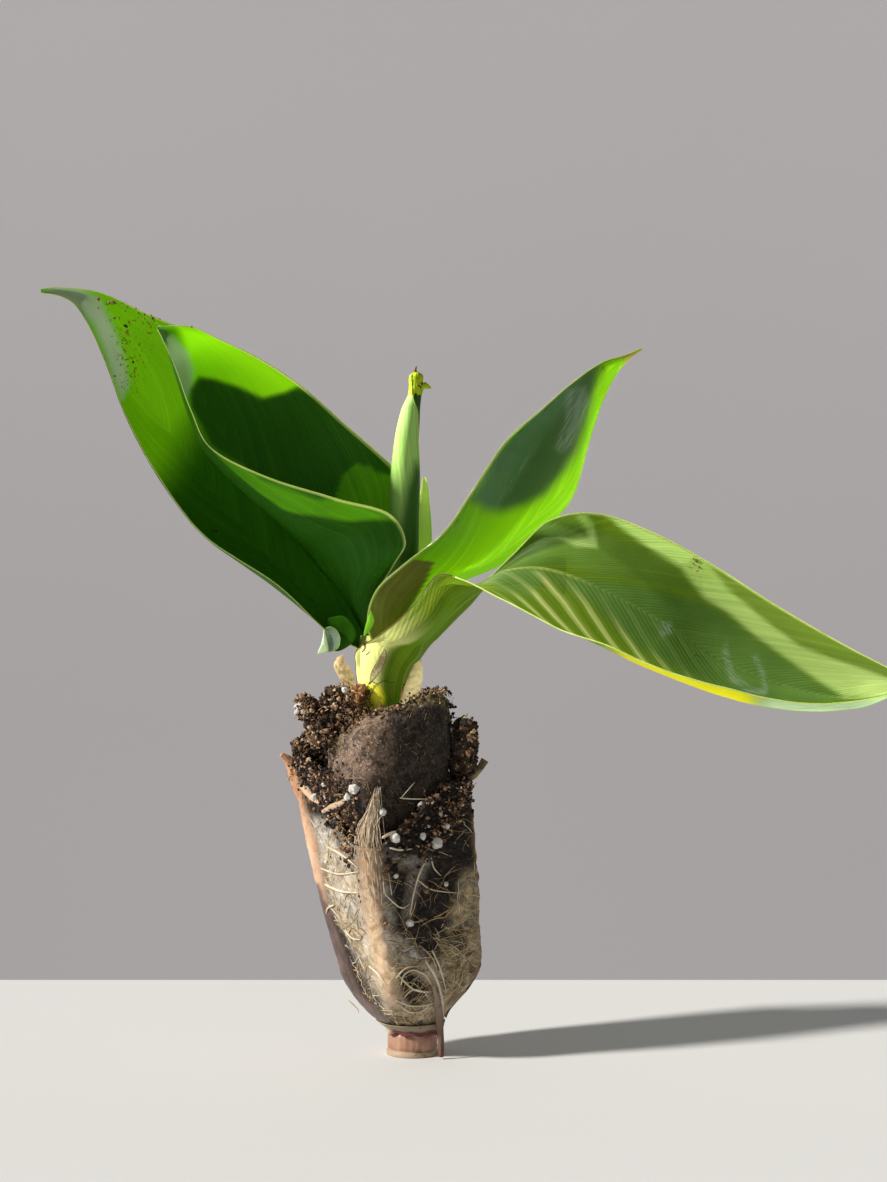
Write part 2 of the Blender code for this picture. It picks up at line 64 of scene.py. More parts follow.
def from_photo(px, py, depth):
    """Point in millimetres at a pixel and a depth along Y."""
    scale = (depth - EYE[1]) / FOCAL
    return Vector((EYE[0] + (px - PHOTO_CENTRE[0]) * scale, depth, EYE[2] - (py - PHOTO_CENTRE[1]) * scale))


# ---- sizes that repeat the solids
Section = namedtuple("Section", "height centre side squareness")
Oval = namedtuple("Oval", "height centre depth half_width half_depth")
Station = namedtuple("Station", "near rib far near_bow far_bow")
CELL_TURN = math.radians(30)
CELL_SECTIONS = (
    Section(7.2, 0.0, 16.0, 2.0),
    Section(12.0, -2.4, 21.6, 3.0),
    Section(19.0, -2.3, 29.6, 5.0),
    Section(25.0, -1.7, 32.6, 8.0),
    Section(36.0, -3.5, 34.6, 10.0),
    Section(48.0, -5.2, 36.8, 10.0),
    Section(61.0, -7.2, 38.5, 10.0),
    Section(86.0, -10.4, 39.8, 10.0),
)
PLUG_SECTIONS = (
    Section(58.3, -7.2, 27.5, 5.0),
    Section(68.0, -7.6, 29.5, 5.5),
    Section(78.0, -8.2, 30.2, 5.5),
    Section(88.0, -8.0, 31.0, 5.0),
    Section(101.0, -7.6, 29.0, 4.5),
)
SOIL_BRIM = (77.0, 76.0, 86.5, 61.0)
PLUG_TOP, PLUG_TOP_X, PLUG_TOP_SLOPE = 95.4, -9.0, 0.34
RING_HEIGHT, RING_CENTRE = 112.5, -7.8
OUTER_RING, MIDDLE_RING, INNER_RING = (7.2, 6.1), (5.3, 4.6), (3.7, 3.2)
COLLAR_CENTRE = -0.7
STEM_SECTIONS = (
    Oval(92.0, -8.8, 0.0, 5.0, 4.8),
    Oval(95.0, -8.7, 0.0, 5.4, 5.2),
    Oval(101.0, -9.3, 0.0, 6.4, 5.8),
    Oval(107.0, -8.8, 0.0, 7.4, 6.4),
    Oval(112.2, -7.8, 0.0, 8.3, 7.2),
    Oval(117.0, -6.8, 0.0, 8.4, 7.0),
)
SPEAR_SECTIONS = (
    Oval(112.5, -7.8, -0.3, 2.8, 2.5),
    Oval(125.0, -5.4, -1.2, 3.6, 3.4),
    Oval(138.6, -3.4, -1.2, 4.2, 4.0),
    Oval(153.0, -3.2, -1.2, 4.4, 4.2),
    Oval(168.0, -2.5, -1.2, 4.0, 3.8),
    Oval(180.0, -1.1, -1.2, 2.9, 2.7),
    Oval(185.0, 0.2, -1.2, 2.0, 1.9),
    Oval(189.5, 0.4, -1.2, 1.9, 1.6),
    Oval(190.3, 0.4, -1.2, 1.1, 0.9),
)
BUD_SECTIONS = (
    Oval(112.5, -3.9, 0.5, 0.6, 1.5),
    Oval(122.0, -1.2, 2.6, 0.9, 1.8),
    Oval(132.0, 1.2, 3.8, 1.6, 1.8),
    Oval(143.0, 2.3, 3.9, 2.5, 1.9),
    Oval(150.0, 2.3, 3.8, 2.4, 1.8),
    Oval(154.5, 2.5, 3.7, 1.7, 1.4),
    Oval(158.0, 2.7, 3.6, 1.2, 0.9),
    Oval(161.5, 2.6, 3.6, 0.5, 0.5),
)


def ring_station(ring, angles, near_bow, far_bow, height=RING_HEIGHT, centre=RING_CENTRE):
    points = []
    for degrees in angles:
        angle = math.radians(degrees)
        points.append((centre + ring[0] * math.cos(angle), ring[1] * math.sin(angle), height))
    return Station(*points, near_bow, far_bow)


OUTER_LEFT = (
    ring_station(OUTER_RING, (208, 170, 105), 0.4, 1.0),
    Station((-24, -6.5, 118), (-21, 2, 121.5), (-11, 9.5, 128), 1.5, 1.5),
    Station((-36.5, -10, 130), (-35, 6, 133.5), (-13, 12, 156), 3, 3),
    Station((-57, -14, 144.5), (-52, 10, 151.5), (-25, 9.5, 178.5), 4, 4.5),
    Station((-69, -14, 159.5), (-64.5, 11, 167.5), (-38, 7.5, 188.5), 4, 5),
    Station((-79, -10, 177), (-76, 10, 184), (-56, 6.5, 199.5), 3, 3.5),
    Station((-86.5, -3, 194), (-84.5, 8, 198.5), (-75, 8, 207.5), 2, 2),
    Station((-94.5, 1, 208.5), (-93, 5, 211.5), (-90, 6, 214), 0.8, 0.8),
    Station((-100, 3.5, 212.5), (-100.5, 4.5, 214), (-101, 4.5, 215), 0.2, 0.2),
    Station((-105.5, 4, 213.5), (-105.5, 4, 214), (-105.5, 4, 214.5), 0, 0),
)
INNER_LEFT = (
    ring_station(INNER_RING, (266, 180, 95), 0.8, 0.9),
    Station((-12, -5.5, 125), (-17, -0.5, 123.5), (-10, 5.5, 129.5), 2, 2),
    Station((-5.5, -8.5, 137), (-22, 0, 131), (-4, 7, 144), 5, 4),
    Station((-2.5, -11, 143), (-26, -1, 135.5), (-2, 7.5, 153), 6, 4),
    Station((-7, -15, 150.5), (-30.5, -2, 141), (-3.5, 7, 160.5), 6, 4),
    Station((-20, -22, 154), (-35.5, -3, 146), (-7.5, 5.5, 165.5), 6, 4),
    Station((-39.5, -27, 160), (-44.5, -4, 159), (-20, 2, 176.5), 5.5, 4),
    Station((-54.5, -24, 168), (-52.5, -3, 172.5), (-32, 1, 187), 4.5, 4),
    Station((-61, -17, 179), (-59.5, -2, 183), (-43.5, 1, 194.5), 3, 3),
    Station((-66, -8, 191), (-65.5, -1, 192.5), (-55, 1, 200), 1.5, 2),
    Station((-70, -3, 199), (-69, -1, 200), (-63.5, 0, 203.5), 0.5, 0.8),
    Station((-72, 0, 202.5), (-72, 0, 203), (-72, 0, 203.5), 0, 0),
)
UPPER_RIGHT = (
    ring_station(MIDDLE_RING, (240, 350, 410), 2.2, 0.7),
    Station((-13, -7.5, 120), (-1, -1, 122), (1, 6, 125), 3, 1),
    Station((-10.5, -10, 129.5), (6, 3, 130), (7, 10, 133), 4, 1.5),
    Station((-2.5, -10, 137), (14, 4, 134), (14, 14, 135), 4.5, 2),
    Station((7.5, -8, 145), (22.5, 3, 139.5), (24.5, 18, 139), 4.5, 2.5),
    Station((16, -8, 157), (33, 2, 149.5), (36.5, 21, 149), 4.5, 3),
    Station((25, -8, 170.5), (40.5, 2, 158), (43.5, 22, 157), 4.5, 3),
    Station((35.5, -6, 180), (46, 3, 172), (48, 19, 172), 3.5, 2.5),
    Station((44, -3, 187.5), (50, 4, 183), (52, 15, 183), 2, 2),
    Station((52.5, 1, 193.5), (55.5, 5, 191.5), (57, 10, 191.5), 1, 1),
    Station((59.5, 4, 196), (60.5, 5, 195.5), (61, 7, 195.5), 0.3, 0.3),
    Station((64, 4.5, 198), (64, 5, 197.5), (64, 5.5, 197.5), 0, 0),
)
FAR_RIGHT = (
    ring_station(OUTER_RING, (225, 325, 415), 2.8, 2.0),
    Station((-9.6, -11.6, 117.2), (1.5, -4, 115.5), (4.5, 4, 118.5), 3, 2),
    Station((-0.5, -11, 125), (7, -4, 122), (10.5, 2, 123.5), 3, 1.5),
    Station((6, -10.5, 133.5), (12, -4, 126.5), (16, 1.5, 128.5), 2.5, 1.5),
    Station((13, -13, 132.5), (17.5, -5, 131), (20.5, 1.5, 132.5), 1.5, 1),
    Station((23.5, -19, 127.5), (25, -7, 135), (27.5, 2, 139.5), 1.5, 1.5),
    Station((35, -26, 121), (36, -9, 135.5), (37.5, 2, 149), 2.5, 2),
    Station((49.5, -31, 114), (51, -11, 130), (51, 1, 151), 3, 2),
    Station((66.5, -33, 106.5), (67.5, -13, 121), (67, 0, 145.5), 3, 2),
    Station((84, -32, 101.5), (83.5, -14, 110.5), (83.5, -1, 136.5), 3, 2),
    Station((103.5, -27, 97.5), (101, -15, 103.5), (101, -5, 125), 2, 2),
    Station((120.5, -20, 98), (118.5, -15, 100), (118.5, -9, 114.5), 1, 1.5),
    Station((130.5, -17, 101), (130, -15.5, 102), (130.5, -12.5, 108), 0.4, 0.8),
    Station((138, -14, 103.5), (138, -14, 104), (138, -14, 104.5), 0, 0),
)
DRY_RIGHT = (
    Station((-4.6, -5.4, 97.8), (0.2, -1.6, 97.6), (-1.0, 3.2, 98.4), 0.6, 0.5),
    Station((-2.2, -4.8, 104.5), (1.9, -0.8, 104.5), (0.7, 3, 104.5), 0.8, 0.6),
    Station((-0.4, -3.0, 109), (2.0, -0.4, 109.2), (1.1, 1.6, 109), 0.5, 0.3),
    Station((0.6, -0.6, 112), (0.9, 0, 112), (0.9, 0.4, 112), 0, 0),
)
DRY_LEFT = (
    Station((-16.6, -3.2, 102.6), (-17.0, -1.8, 103.8), (-16.7, -0.6, 105.4), 0.3, 0.3),
    Station((-18.9, -4.4, 103.8), (-20.0, -2.6, 106.0), (-18.4, -1.4, 108.4), 0.9, 0.7),
    Station((-21.6, -4.4, 107.2), (-22, -2.8, 109), (-19.8, -1.8, 110.6), 0.7, 0.5),
    Station((-22.4, -3.6, 109.6), (-21.8, -2.8, 110.8), (-20.0, -2.0, 111.8), 0.2, 0.2),
)


# ---- shapes
def smooth_value(knots, values, at):
    last = len(knots) - 1
    span = 0
    while span < last - 1 and at > knots[span + 1]:
        span += 1

    def slope(index):
        before, after = max(index - 1, 0), min(index + 1, last)
        return (values[after] - values[before]) / (knots[after] - knots[before])

    width = knots[span + 1] - knots[span]
    t = (at - knots[span]) / width
    position = values[span] * (2 * t**3 - 3 * t**2 + 1) + values[span + 1] * (3 * t**2 - 2 * t**3)
    leaving = slope(span) * (width * (t**3 - 2 * t**2 + t))
    arriving = slope(span + 1) * (width * (t**3 - t**2))
    return position + leaving + arriving


def ease(value):
    value = np.clip(value, 0.0, 1.0)
    return value * value * (3 - 2 * value)


def grid_faces(rows, columns, closed=False, flip=False):
    """Quads over a grid of rows by columns points, closed round the columns if asked."""
    across = columns if closed else columns - 1
    row, column = np.meshgrid(np.arange(rows - 1), np.arange(across), indexing="ij")
    low, after = row * columns + column, row * columns + (column + 1) % columns
    quads = np.stack([low, after, after + columns, low + columns], -1).reshape(-1, 4)
    return quads[:, ::-1] if flip else quads


class Heap:
    """Many small shapes gathered into one mesh, each with its own material."""

    def __init__(self):
        self.points, self.faces, self.slots, self.count = [], [], [], 0

    def add(self, points, faces, slot=0):
        points = np.asarray(points, float).reshape(-1, 3)
        self.points.append(points)
        self.faces += (np.asarray(faces) + self.count).tolist()
        self.slots += [slot] * len(faces)
        self.count += len(points)

    def piece(self, name, materials, smooth=True):
        item = make_piece(name, np.concatenate(self.points), self.faces, materials, smooth=smooth)
        item.data.polygons.foreach_set("material_index", self.slots)
        return item


def make_piece(name, points, faces, materials, places=None, marks=None, smooth=True):
    """Mesh from millimetres, with a map of places along it and colour attributes that mark zones."""
    mesh = bpy.data.meshes.new(name)
    faces = faces.tolist() if isinstance(faces, np.ndarray) else faces
    mesh.from_pydata((np.asarray(points, float).reshape(-1, 3) * MM).tolist(), [], faces)
    for material in materials:
        mesh.materials.append(material)
    mesh.polygons.foreach_set("use_smooth", [smooth] * len(mesh.polygons))
    if places is not None:
        corners = np.empty(len(mesh.loops), dtype=np.int32)
        mesh.loops.foreach_get("vertex_index", corners)
        layer = mesh.uv_layers.new(name="along")
        layer.data.foreach_set("uv", np.asarray(places, np.float32).reshape(-1, 2)[corners].ravel())
    if marks is not None:
        for title, values in marks.items():
            values = np.asarray(values, np.float32).reshape(-1, 3)
            values = np.concatenate([values, np.ones((len(values), 1), np.float32)], 1)
            layer = mesh.attributes.new(title, "FLOAT_COLOR", "POINT")
            layer.data.foreach_set("color", values.ravel())
    mesh.update()
    item = bpy.data.objects.new(name, mesh)
    bpy.context.scene.collection.objects.link(item)
    return item


def wear_piece(item, nodes=()):
    """The piece rides on the plant and stands for some nodes."""
    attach(item, "root")
    if nodes:
        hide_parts(*nodes)
    return item


def zone(grid, outline, soft=4.0):
    """Share from 0 to 1 of each point of a grid that shows inside an outline of the photo's pixels."""
    scale = FOCAL / (grid[..., 1] - EYE[1])
    x = PHOTO_CENTRE[0] + (grid[..., 0] - EYE[0]) * scale
    y = PHOTO_CENTRE[1] - (grid[..., 2] - EYE[2]) * scale
    inside = np.zeros(x.shape, bool)
    gap = np.full(x.shape, 1e9)
    for (x0, y0), (x1, y1) in zip(outline, outline[1:] + outline[:1]):
        crossed = (y0 > y) != (y1 > y)
        inside ^= crossed & (x < x0 + (y - y0) * (x1 - x0) / ((y1 - y0) or 1e-9))
        share = ((x - x0) * (x1 - x0) + (y - y0) * (y1 - y0)) / max((x1 - x0) ** 2 + (y1 - y0) ** 2, 1e-9)
        share = share.clip(0, 1)
        gap = np.minimum(gap, np.hypot(x - x0 - share * (x1 - x0), y - y0 - share * (y1 - y0)))
    return ease(0.5 + np.where(inside, gap, -gap) / (2 * soft))


def noise_at(points, scale, octaves=1, seed=0.0):
    """Noise from -1 to 1 at many points in millimetres."""
    shift = Vector((seed, seed * 1.7, seed * 0.3))
    out = np.empty(len(points))
    for index, point in enumerate(points):
        place = Vector(point) * scale + shift
        out[index] = noise.noise(place) if octaves == 1 else noise.fractal(place, 1.0, 2.0, octaves)
    return out


def normals_of(grid):
    """Unit normals of a grid of points."""
    down = np.gradient(grid, axis=0)
    across = np.gradient(grid, axis=1)
    normal = np.cross(across, down)
    return normal / np.maximum(np.linalg.norm(normal, axis=-1, keepdims=True), 1e-9)


def tube(path, radii, sides=6, start=0.0):
    """Tube round a path, with closed ends."""
    path = np.asarray(path, float)
    ahead = np.gradient(path, axis=0)
    ahead /= np.maximum(np.linalg.norm(ahead, axis=1, keepdims=True), 1e-9)
    side = np.cross(ahead[0], (0.31, 0.87, 0.38))
    side /= max(np.linalg.norm(side), 1e-9)
    rings = []
    angles = start + TAU * np.arange(sides) / sides
    for point, forward, radius in zip(path, ahead, np.broadcast_to(radii, len(path))):
        side = side - forward * side.dot(forward)
        side /= max(np.linalg.norm(side), 1e-9)
        other = np.cross(forward, side)
        rings.append(point + radius * (np.outer(np.cos(angles), side) + np.outer(np.sin(angles), other)))
    points = np.concatenate(rings)
    faces = grid_faces(len(path), sides, closed=True).tolist()
    faces.append(list(range(sides))[::-1])
    faces.append(list(range((len(path) - 1) * sides, len(path) * sides)))
    return points, faces


def add_tube(heap, path, radii, sides=6, slot=0):
    points, faces = tube(path, radii, sides)
    heap.points.append(points)
    heap.faces += [[corner + heap.count for corner in face] for face in faces]
    heap.slots += [slot] * len(faces)
    heap.count += len(points)


def ball_shape(subdivisions):
    ball = bmesh.new()
    bmesh.ops.create_icosphere(ball, subdivisions=subdivisions, radius=1.0)
    points = np.array([vertex.co[:] for vertex in ball.verts])
    faces = np.array([[vertex.index for vertex in face.verts] for face in ball.faces])
    ball.free()
    return points, faces


def turn_of(rng):
    """A random rotation."""
    a, b, c = rng.normal(size=3), rng.normal(size=3), None
    a /= np.linalg.norm(a)
    b -= a * a.dot(b)
    b /= np.linalg.norm(b)
    c = np.cross(a, b)
    return np.stack([a, b, c])


def add_crumb(heap, shape, place, size, rng, slot=0, rough=0.28):
    """Uneven grain at a place."""
    points, faces = shape
    lumpy = points * (1 + rough * rng.normal(size=(len(points), 1)).clip(-1.6, 1.6))
    lumpy = lumpy * rng.uniform(1.15 - 2 * rough, 1.15, size=3)
    heap.add(lumpy @ turn_of(rng) * size + np.asarray(place), faces, slot)


# ---- node graphs
class Look:
    """Material with short calls for the nodes that a pattern needs."""

    def __init__(self, name, roughness=0.5, specular=0.5):
        self.material = bpy.data.materials.new(name)
        self.material.use_nodes = True
        self.tree = self.material.node_tree
        self.shader = self.tree.nodes["Principled BSDF"]
        self.shader.inputs["Roughness"].default_value = roughness
        self.shader.inputs["Specular IOR Level"].default_value = specular

    def node(self, kind, **values):
        item = self.tree.nodes.new(kind)
        for key, value in values.items():
            setattr(item, key, value)
        return item

    def wire(self, value, socket):
        if hasattr(value, "links"):
            self.tree.links.new(value, socket)
        elif isinstance(value, tuple) and len(value) == 3 and len(socket.default_value) == 4:
            socket.default_value = (*value, 1.0)
        else:
            socket.default_value = value

    def math(self, operation, first, second=0.0, clamp=False):
        item = self.node("ShaderNodeMath", operation=operation, use_clamp=clamp)
        self.wire(first, item.inputs[0])
        self.wire(second, item.inputs[1])
        return item.outputs[0]

    def span(self, value, low, high, start=0.0, end=1.0, smooth=True):
        kind = "SMOOTHSTEP" if smooth else "LINEAR"
        item = self.node("ShaderNodeMapRange", interpolation_type=kind)
        for socket, number in zip(item.inputs, (value, low, high, start, end)):
            self.wire(number, socket)
        return item.outputs[0]

    def mix(self, first, second, factor, kind="MIX"):
        item = self.node("ShaderNodeMix", data_type="RGBA", blend_type=kind)
        self.wire(factor, item.inputs[0])
        self.wire(first, item.inputs[6])
        self.wire(second, item.inputs[7])
        return item.outputs[2]

    def place(self):
        return self.node("ShaderNodeTexCoord").outputs["Object"]

    def along(self):
        item = self.node("ShaderNodeUVMap", uv_map="along")
        split = self.node("ShaderNodeSeparateXYZ")
        self.wire(item.outputs[0], split.inputs[0])
        return split.outputs[0], split.outputs[1]

    def vector(self, x, y, z=0.0):
        item = self.node("ShaderNodeCombineXYZ")
        for socket, value in zip(item.inputs, (x, y, z)):
            self.wire(value, socket)
        return item.outputs[0]

    def noise(self, scale, detail=2.0, rough=0.5, twist=0.0, where=None):
        item = self.node("ShaderNodeTexNoise")
        self.wire(self.place() if where is None else where, item.inputs["Vector"])
        item.inputs["Scale"].default_value = scale
        item.inputs["Detail"].default_value = detail
        item.inputs["Roughness"].default_value = rough
        item.inputs["Distortion"].default_value = twist
        return item.outputs["Fac"]

    def cells(self, scale, feature="F1", where=None):
        item = self.node("ShaderNodeTexVoronoi", feature=feature)
        self.wire(self.place() if where is None else where, item.inputs["Vector"])
        item.inputs["Scale"].default_value = scale
        return item.outputs["Distance"]

    def wave(self, value, period, power=1.0):
        """Ripples of a value, from 0 to 1, sharpened by a power."""
        turned = self.math("COSINE", self.math("MULTIPLY", value, TAU / period))
        ripple = self.math("MULTIPLY_ADD", turned, 0.5)
        ripple.node.inputs[2].default_value = 0.5
        return self.math("POWER", ripple, power) if power != 1.0 else ripple

    def colour(self, value):
        self.wire(value, self.shader.inputs["Base Color"])

    def rough(self, value):
        self.wire(value, self.shader.inputs["Roughness"])

    def bump(self, height, strength, distance):
        item = self.node("ShaderNodeBump")
        item.inputs["Strength"].default_value = strength
        item.inputs["Distance"].default_value = distance
        self.wire(height, item.inputs["Height"])
        self.wire(item.outputs[0], self.shader.inputs["Normal"])
        return item.outputs[0]

    def mark(self, channel, title="marks"):
        item = self.node("ShaderNodeVertexColor", layer_name=title)
        split = self.node("ShaderNodeSeparateColor")
        self.wire(item.outputs[0], split.inputs[0])
        return split.outputs[channel]

    def glow(self, colour, share):
        """Light that passes through a thin leaf or film."""
        through = self.node("ShaderNodeBsdfTranslucent")
        self.wire(colour, through.inputs["Color"])
        both = self.node("ShaderNodeMixShader")
        self.wire(share, both.inputs[0])
        self.wire(self.shader.outputs[0], both.inputs[1])
        self.wire(through.outputs[0], both.inputs[2])
        output = self.tree.nodes["Material Output"]
        self.wire(both.outputs[0], output.inputs["Surface"])


RIB_SCALE = 200.0


def leaf_look(name, dark, light, vein, glow, share, shade_and_sheen, second, lit,
              sweep=(90.0, 90.0), spacing=11.0, strength=0.25, stalk=None, shade_and_sheen_glow=None, bands=0.0, grain=0.9, second_glows=False, glow_gain=0.0,
              edge=(0.30, 0.16, 0.05)):
    """Leaf with veins that sweep from the rib to the margin, and zones that are marked on its mesh."""
    look = Look(name, 0.42, 0.10)
    u, v = look.along()
    along = look.math("MULTIPLY", u, RIB_SCALE)
    away = look.math("ABSOLUTE", look.math("SUBTRACT", look.math("MULTIPLY", v, 2.0), 1.0))
    wander = look.math("MULTIPLY", look.noise(45.0, 2.0), spacing * 0.5)
    reach = look.span(v, 0.49, 0.51, -sweep[0], -sweep[1], smooth=False)
    lag = look.math("MULTIPLY", look.math("POWER", away, 1.15), reach)
    line = look.math("ADD", look.math("ADD", along, lag), wander)
    where = look.vector(look.math("MULTIPLY", line, 2.2 / spacing), look.math("MULTIPLY", away, 0.9))
    patch = look.noise(1.0, 4.0, 0.62, where=where)
    major = look.math("MULTIPLY", look.wave(line, spacing, 4.0), look.span(patch, 0.40, 0.66))
    minor = look.wave(line, spacing * 0.24)
    fine = look.wave(line, spacing * 0.08)
    broad = look.noise(26.0, 3.0, 0.55)
    tone = look.math("ADD", look.math("MULTIPLY", patch, grain), look.math("MULTIPLY", broad, 1.4 - grain))
    tone = look.math("ADD", look.math("SUBTRACT", tone, 0.32), look.math("MULTIPLY", minor, 0.13 * grain), clamp=True)
    base = look.mix(dark, light, tone)
    base = look.mix(base, vein, look.math("MULTIPLY", major, strength))
    painted_sunlit = None
    if stalk:
        lines = look.noise(1.0, 4.0, 0.6, where=look.vector(look.math("MULTIPLY", v, 44.0), look.math("MULTIPLY", u, 5.0)))
        streaked = look.mix(stalk[0], stalk[1], look.span(lines, 0.30, 0.70))
        # painted sunlight: a pale yellow band on the left side of the stalk, which also lets less light through
        painted_sunlit = look.math("MULTIPLY", look.span(along, 31.0, 17.0), look.span(v, 0.34, 0.22))
        streaked = look.mix(streaked, (0.88, 0.93, 0.32), look.math("MULTIPLY", painted_sunlit, 0.92))
        base = look.mix(base, streaked, look.span(along, stalk[3], stalk[2]))
        near_half = look.span(v, 0.49, 0.44)
        band = look.math("MULTIPLY", look.wave(line, spacing * 1.1, 3.5), look.span(along, stalk[2], stalk[3] + 8.0))
        band = look.math("MULTIPLY", band, look.span(along, stalk[3] + 62.0, stalk[3] + 34.0))
        base = look.mix(base, (0.74, 0.78, 0.28), look.math("MULTIPLY", look.math("MULTIPLY", band, near_half), bands))
    spine = look.span(away, 0.045, 0.012)
    base = look.mix(base, vein, look.math("MULTIPLY", spine, 0.35 + 0.35 * bands))
    scuff = look.noise(1.0, 4.0, 0.7, 0.6, where=look.vector(look.math("MULTIPLY", along, 0.11), look.math("MULTIPLY", v, 60.0)))
    shade_and_sheen_zone, scuff_and_highlight_zone, shade_and_strip_zone = (look.mark(channel) for channel in range(3))
    lit_zone, dirt_zone, dry_zone = (look.mark(channel, "tint") for channel in range(3))
    base = look.mix(base, lit, look.math("MULTIPLY", lit_zone, look.span(patch, 0.30, 0.62, 0.62, 0.95)))
    # painted shade and sheen: dull grey-green where a shadow falls and the sky reflects in it, and sky reflections on
    # curled tips
    shade_and_sheen_colour = look.mix(shade_and_sheen[0], shade_and_sheen[1], look.span(broad, 0.30, 0.70))
    base = look.mix(base, shade_and_sheen_colour, look.math("MULTIPLY", shade_and_sheen_zone, look.span(broad, 0.1, 0.5, 0.80, 0.97)))
    # second colour: painted shade on the left and upper right leaves; on the far right leaf the underside strip,
    # painted bright yellow as lit through, and the golden foot
    shade = look.mix(second[0], second[1], tone)
    if not second_glows:
        shade = look.mix(shade, vein, look.math("MULTIPLY", major, strength * 0.5))
    base = look.mix(base, shade, shade_and_strip_zone)
    # pale scuffs, and on the upper right leaf a painted highlight streak
    base = look.mix(base, (0.40, 0.50, 0.42), look.math("MULTIPLY", scuff_and_highlight_zone, look.span(scuff, 0.36, 0.66, 0.1, 0.85)))
    rim = look.span(away, 0.970, 0.992)
    base = look.mix(base, (0.45, 0.62, 0.16), look.math("MULTIPLY", rim, 0.8))
    dirt = look.math("MULTIPLY", dirt_zone, look.span(look.noise(900.0, 3.0, 0.6), 0.57, 0.63))
    base = look.mix(base, (0.12, 0.075, 0.015), look.math("MULTIPLY", dirt, 0.8))
    base = look.mix(base, edge, look.math("MULTIPLY", dry_zone, look.span(scuff, 0.30, 0.55, 0.6, 0.98)))
    look.colour(base)
    look.rough(look.span(look.noise(160.0, 2.0), 0.3, 0.7, 0.34, 0.50, smooth=False))
    look.shader.inputs["Coat Weight"].default_value = 0.015
    look.shader.inputs["Coat Roughness"].default_value = 0.25
    ridges = look.math("ADD", look.math("MULTIPLY", minor, 0.5), look.math("MULTIPLY", fine, 0.3))
    ridges = look.math("ADD", ridges, look.math("MULTIPLY", major, 0.7))
    ridges = look.math("ADD", ridges, look.math("MULTIPLY", look.noise(60.0, 3.0), 1.2))
    look.bump(ridges, 0.5, 0.00022)
    through = look.mix(glow[0], glow[1], look.math("MULTIPLY", tone, 0.9, clamp=True))
    through = look.mix(through, glow[2], look.math("MULTIPLY", major, 0.45))
    through = look.mix(through, (0.36, 0.98, 0.005), look.math("MULTIPLY", lit_zone, 0.8))
    if shade_and_sheen_glow:
        through = look.mix(through, shade_and_sheen_glow, look.math("MULTIPLY", shade_and_sheen_zone, 0.85))
    through = look.mix(through, shade, look.math("MULTIPLY", shade_and_strip_zone, 0.95))
    through = look.mix(through, (0.70, 0.85, 0.20), rim)
    through = look.mix(through, (0.14, 0.10, 0.01), look.math("MULTIPLY", dirt, 0.8))
    through = look.mix(through, edge, look.math("MULTIPLY", dry_zone, 0.7))
    closed = scuff_and_highlight_zone if shade_and_sheen_glow else look.math("MAXIMUM", shade_and_sheen_zone, scuff_and_highlight_zone)
    if not second_glows:
        closed = look.math("MAXIMUM", closed, shade_and_strip_zone)
    if painted_sunlit:
        closed = look.math("MAXIMUM", closed, painted_sunlit)
    closed = look.math("MULTIPLY", closed, share * 0.94)
    opened = look.math("MULTIPLY_ADD", lit_zone, glow_gain)
    opened.node.inputs[2].default_value = share
    look.glow(through, look.math("SUBTRACT", opened, closed))
    return look.material


def plain_look(name, dark, light, scale, roughness, bump=0.4, depth=0.0003, share=0.0, glow=None, detail=5.0, gloss=0.4):
    """Mottled surface between two colours."""
    look = Look(name, roughness, gloss)
    mottle = look.noise(scale, detail, 0.65)
    look.colour(look.mix(dark, light, look.span(mottle, 0.32, 0.68)))
    look.bump(look.noise(scale * 2.2, detail, 0.7), bump, depth)
    if share:
        look.glow(glow, share)
    return look.material


def sheath_look(name, dark, light, vein, foot, share, glow, shade=None):
    """Stem and sheaths: ribs that run up, and a colour of its own at the foot: warm gold on the stem, painted shade in
    dark green on the rolled leaf and the bud.
    """
    look = Look(name, 0.42, 0.20)
    u, v = look.along()
    warp = look.math("ADD", look.math("MULTIPLY", v, 40.0), look.math("MULTIPLY", look.noise(90.0, 2.0), 0.9))
    lines = look.noise(1.0, 4.0, 0.6, where=look.vector(warp, look.math("MULTIPLY", u, 3.0)))
    thin = look.wave(warp, 0.5)
    base = look.mix(dark, light, look.span(lines, 0.28, 0.72))
    base = look.mix(base, vein, look.math("MULTIPLY", look.math("POWER", thin, 3.0), 0.18))
    base = look.mix(base, foot, look.span(u, 0.30, 0.02, 0.0, 0.85))
    if shade:
        base = look.mix(base, shade, look.mark(0))
    look.colour(base)
    look.bump(look.math("ADD", look.math("MULTIPLY", thin, 0.5), lines), 0.35, 0.00018)
    look.shader.inputs["Coat Weight"].default_value = 0.03
    look.shader.inputs["Coat Roughness"].default_value = 0.2
    if share:
        look.glow(glow, share)
    return look.material


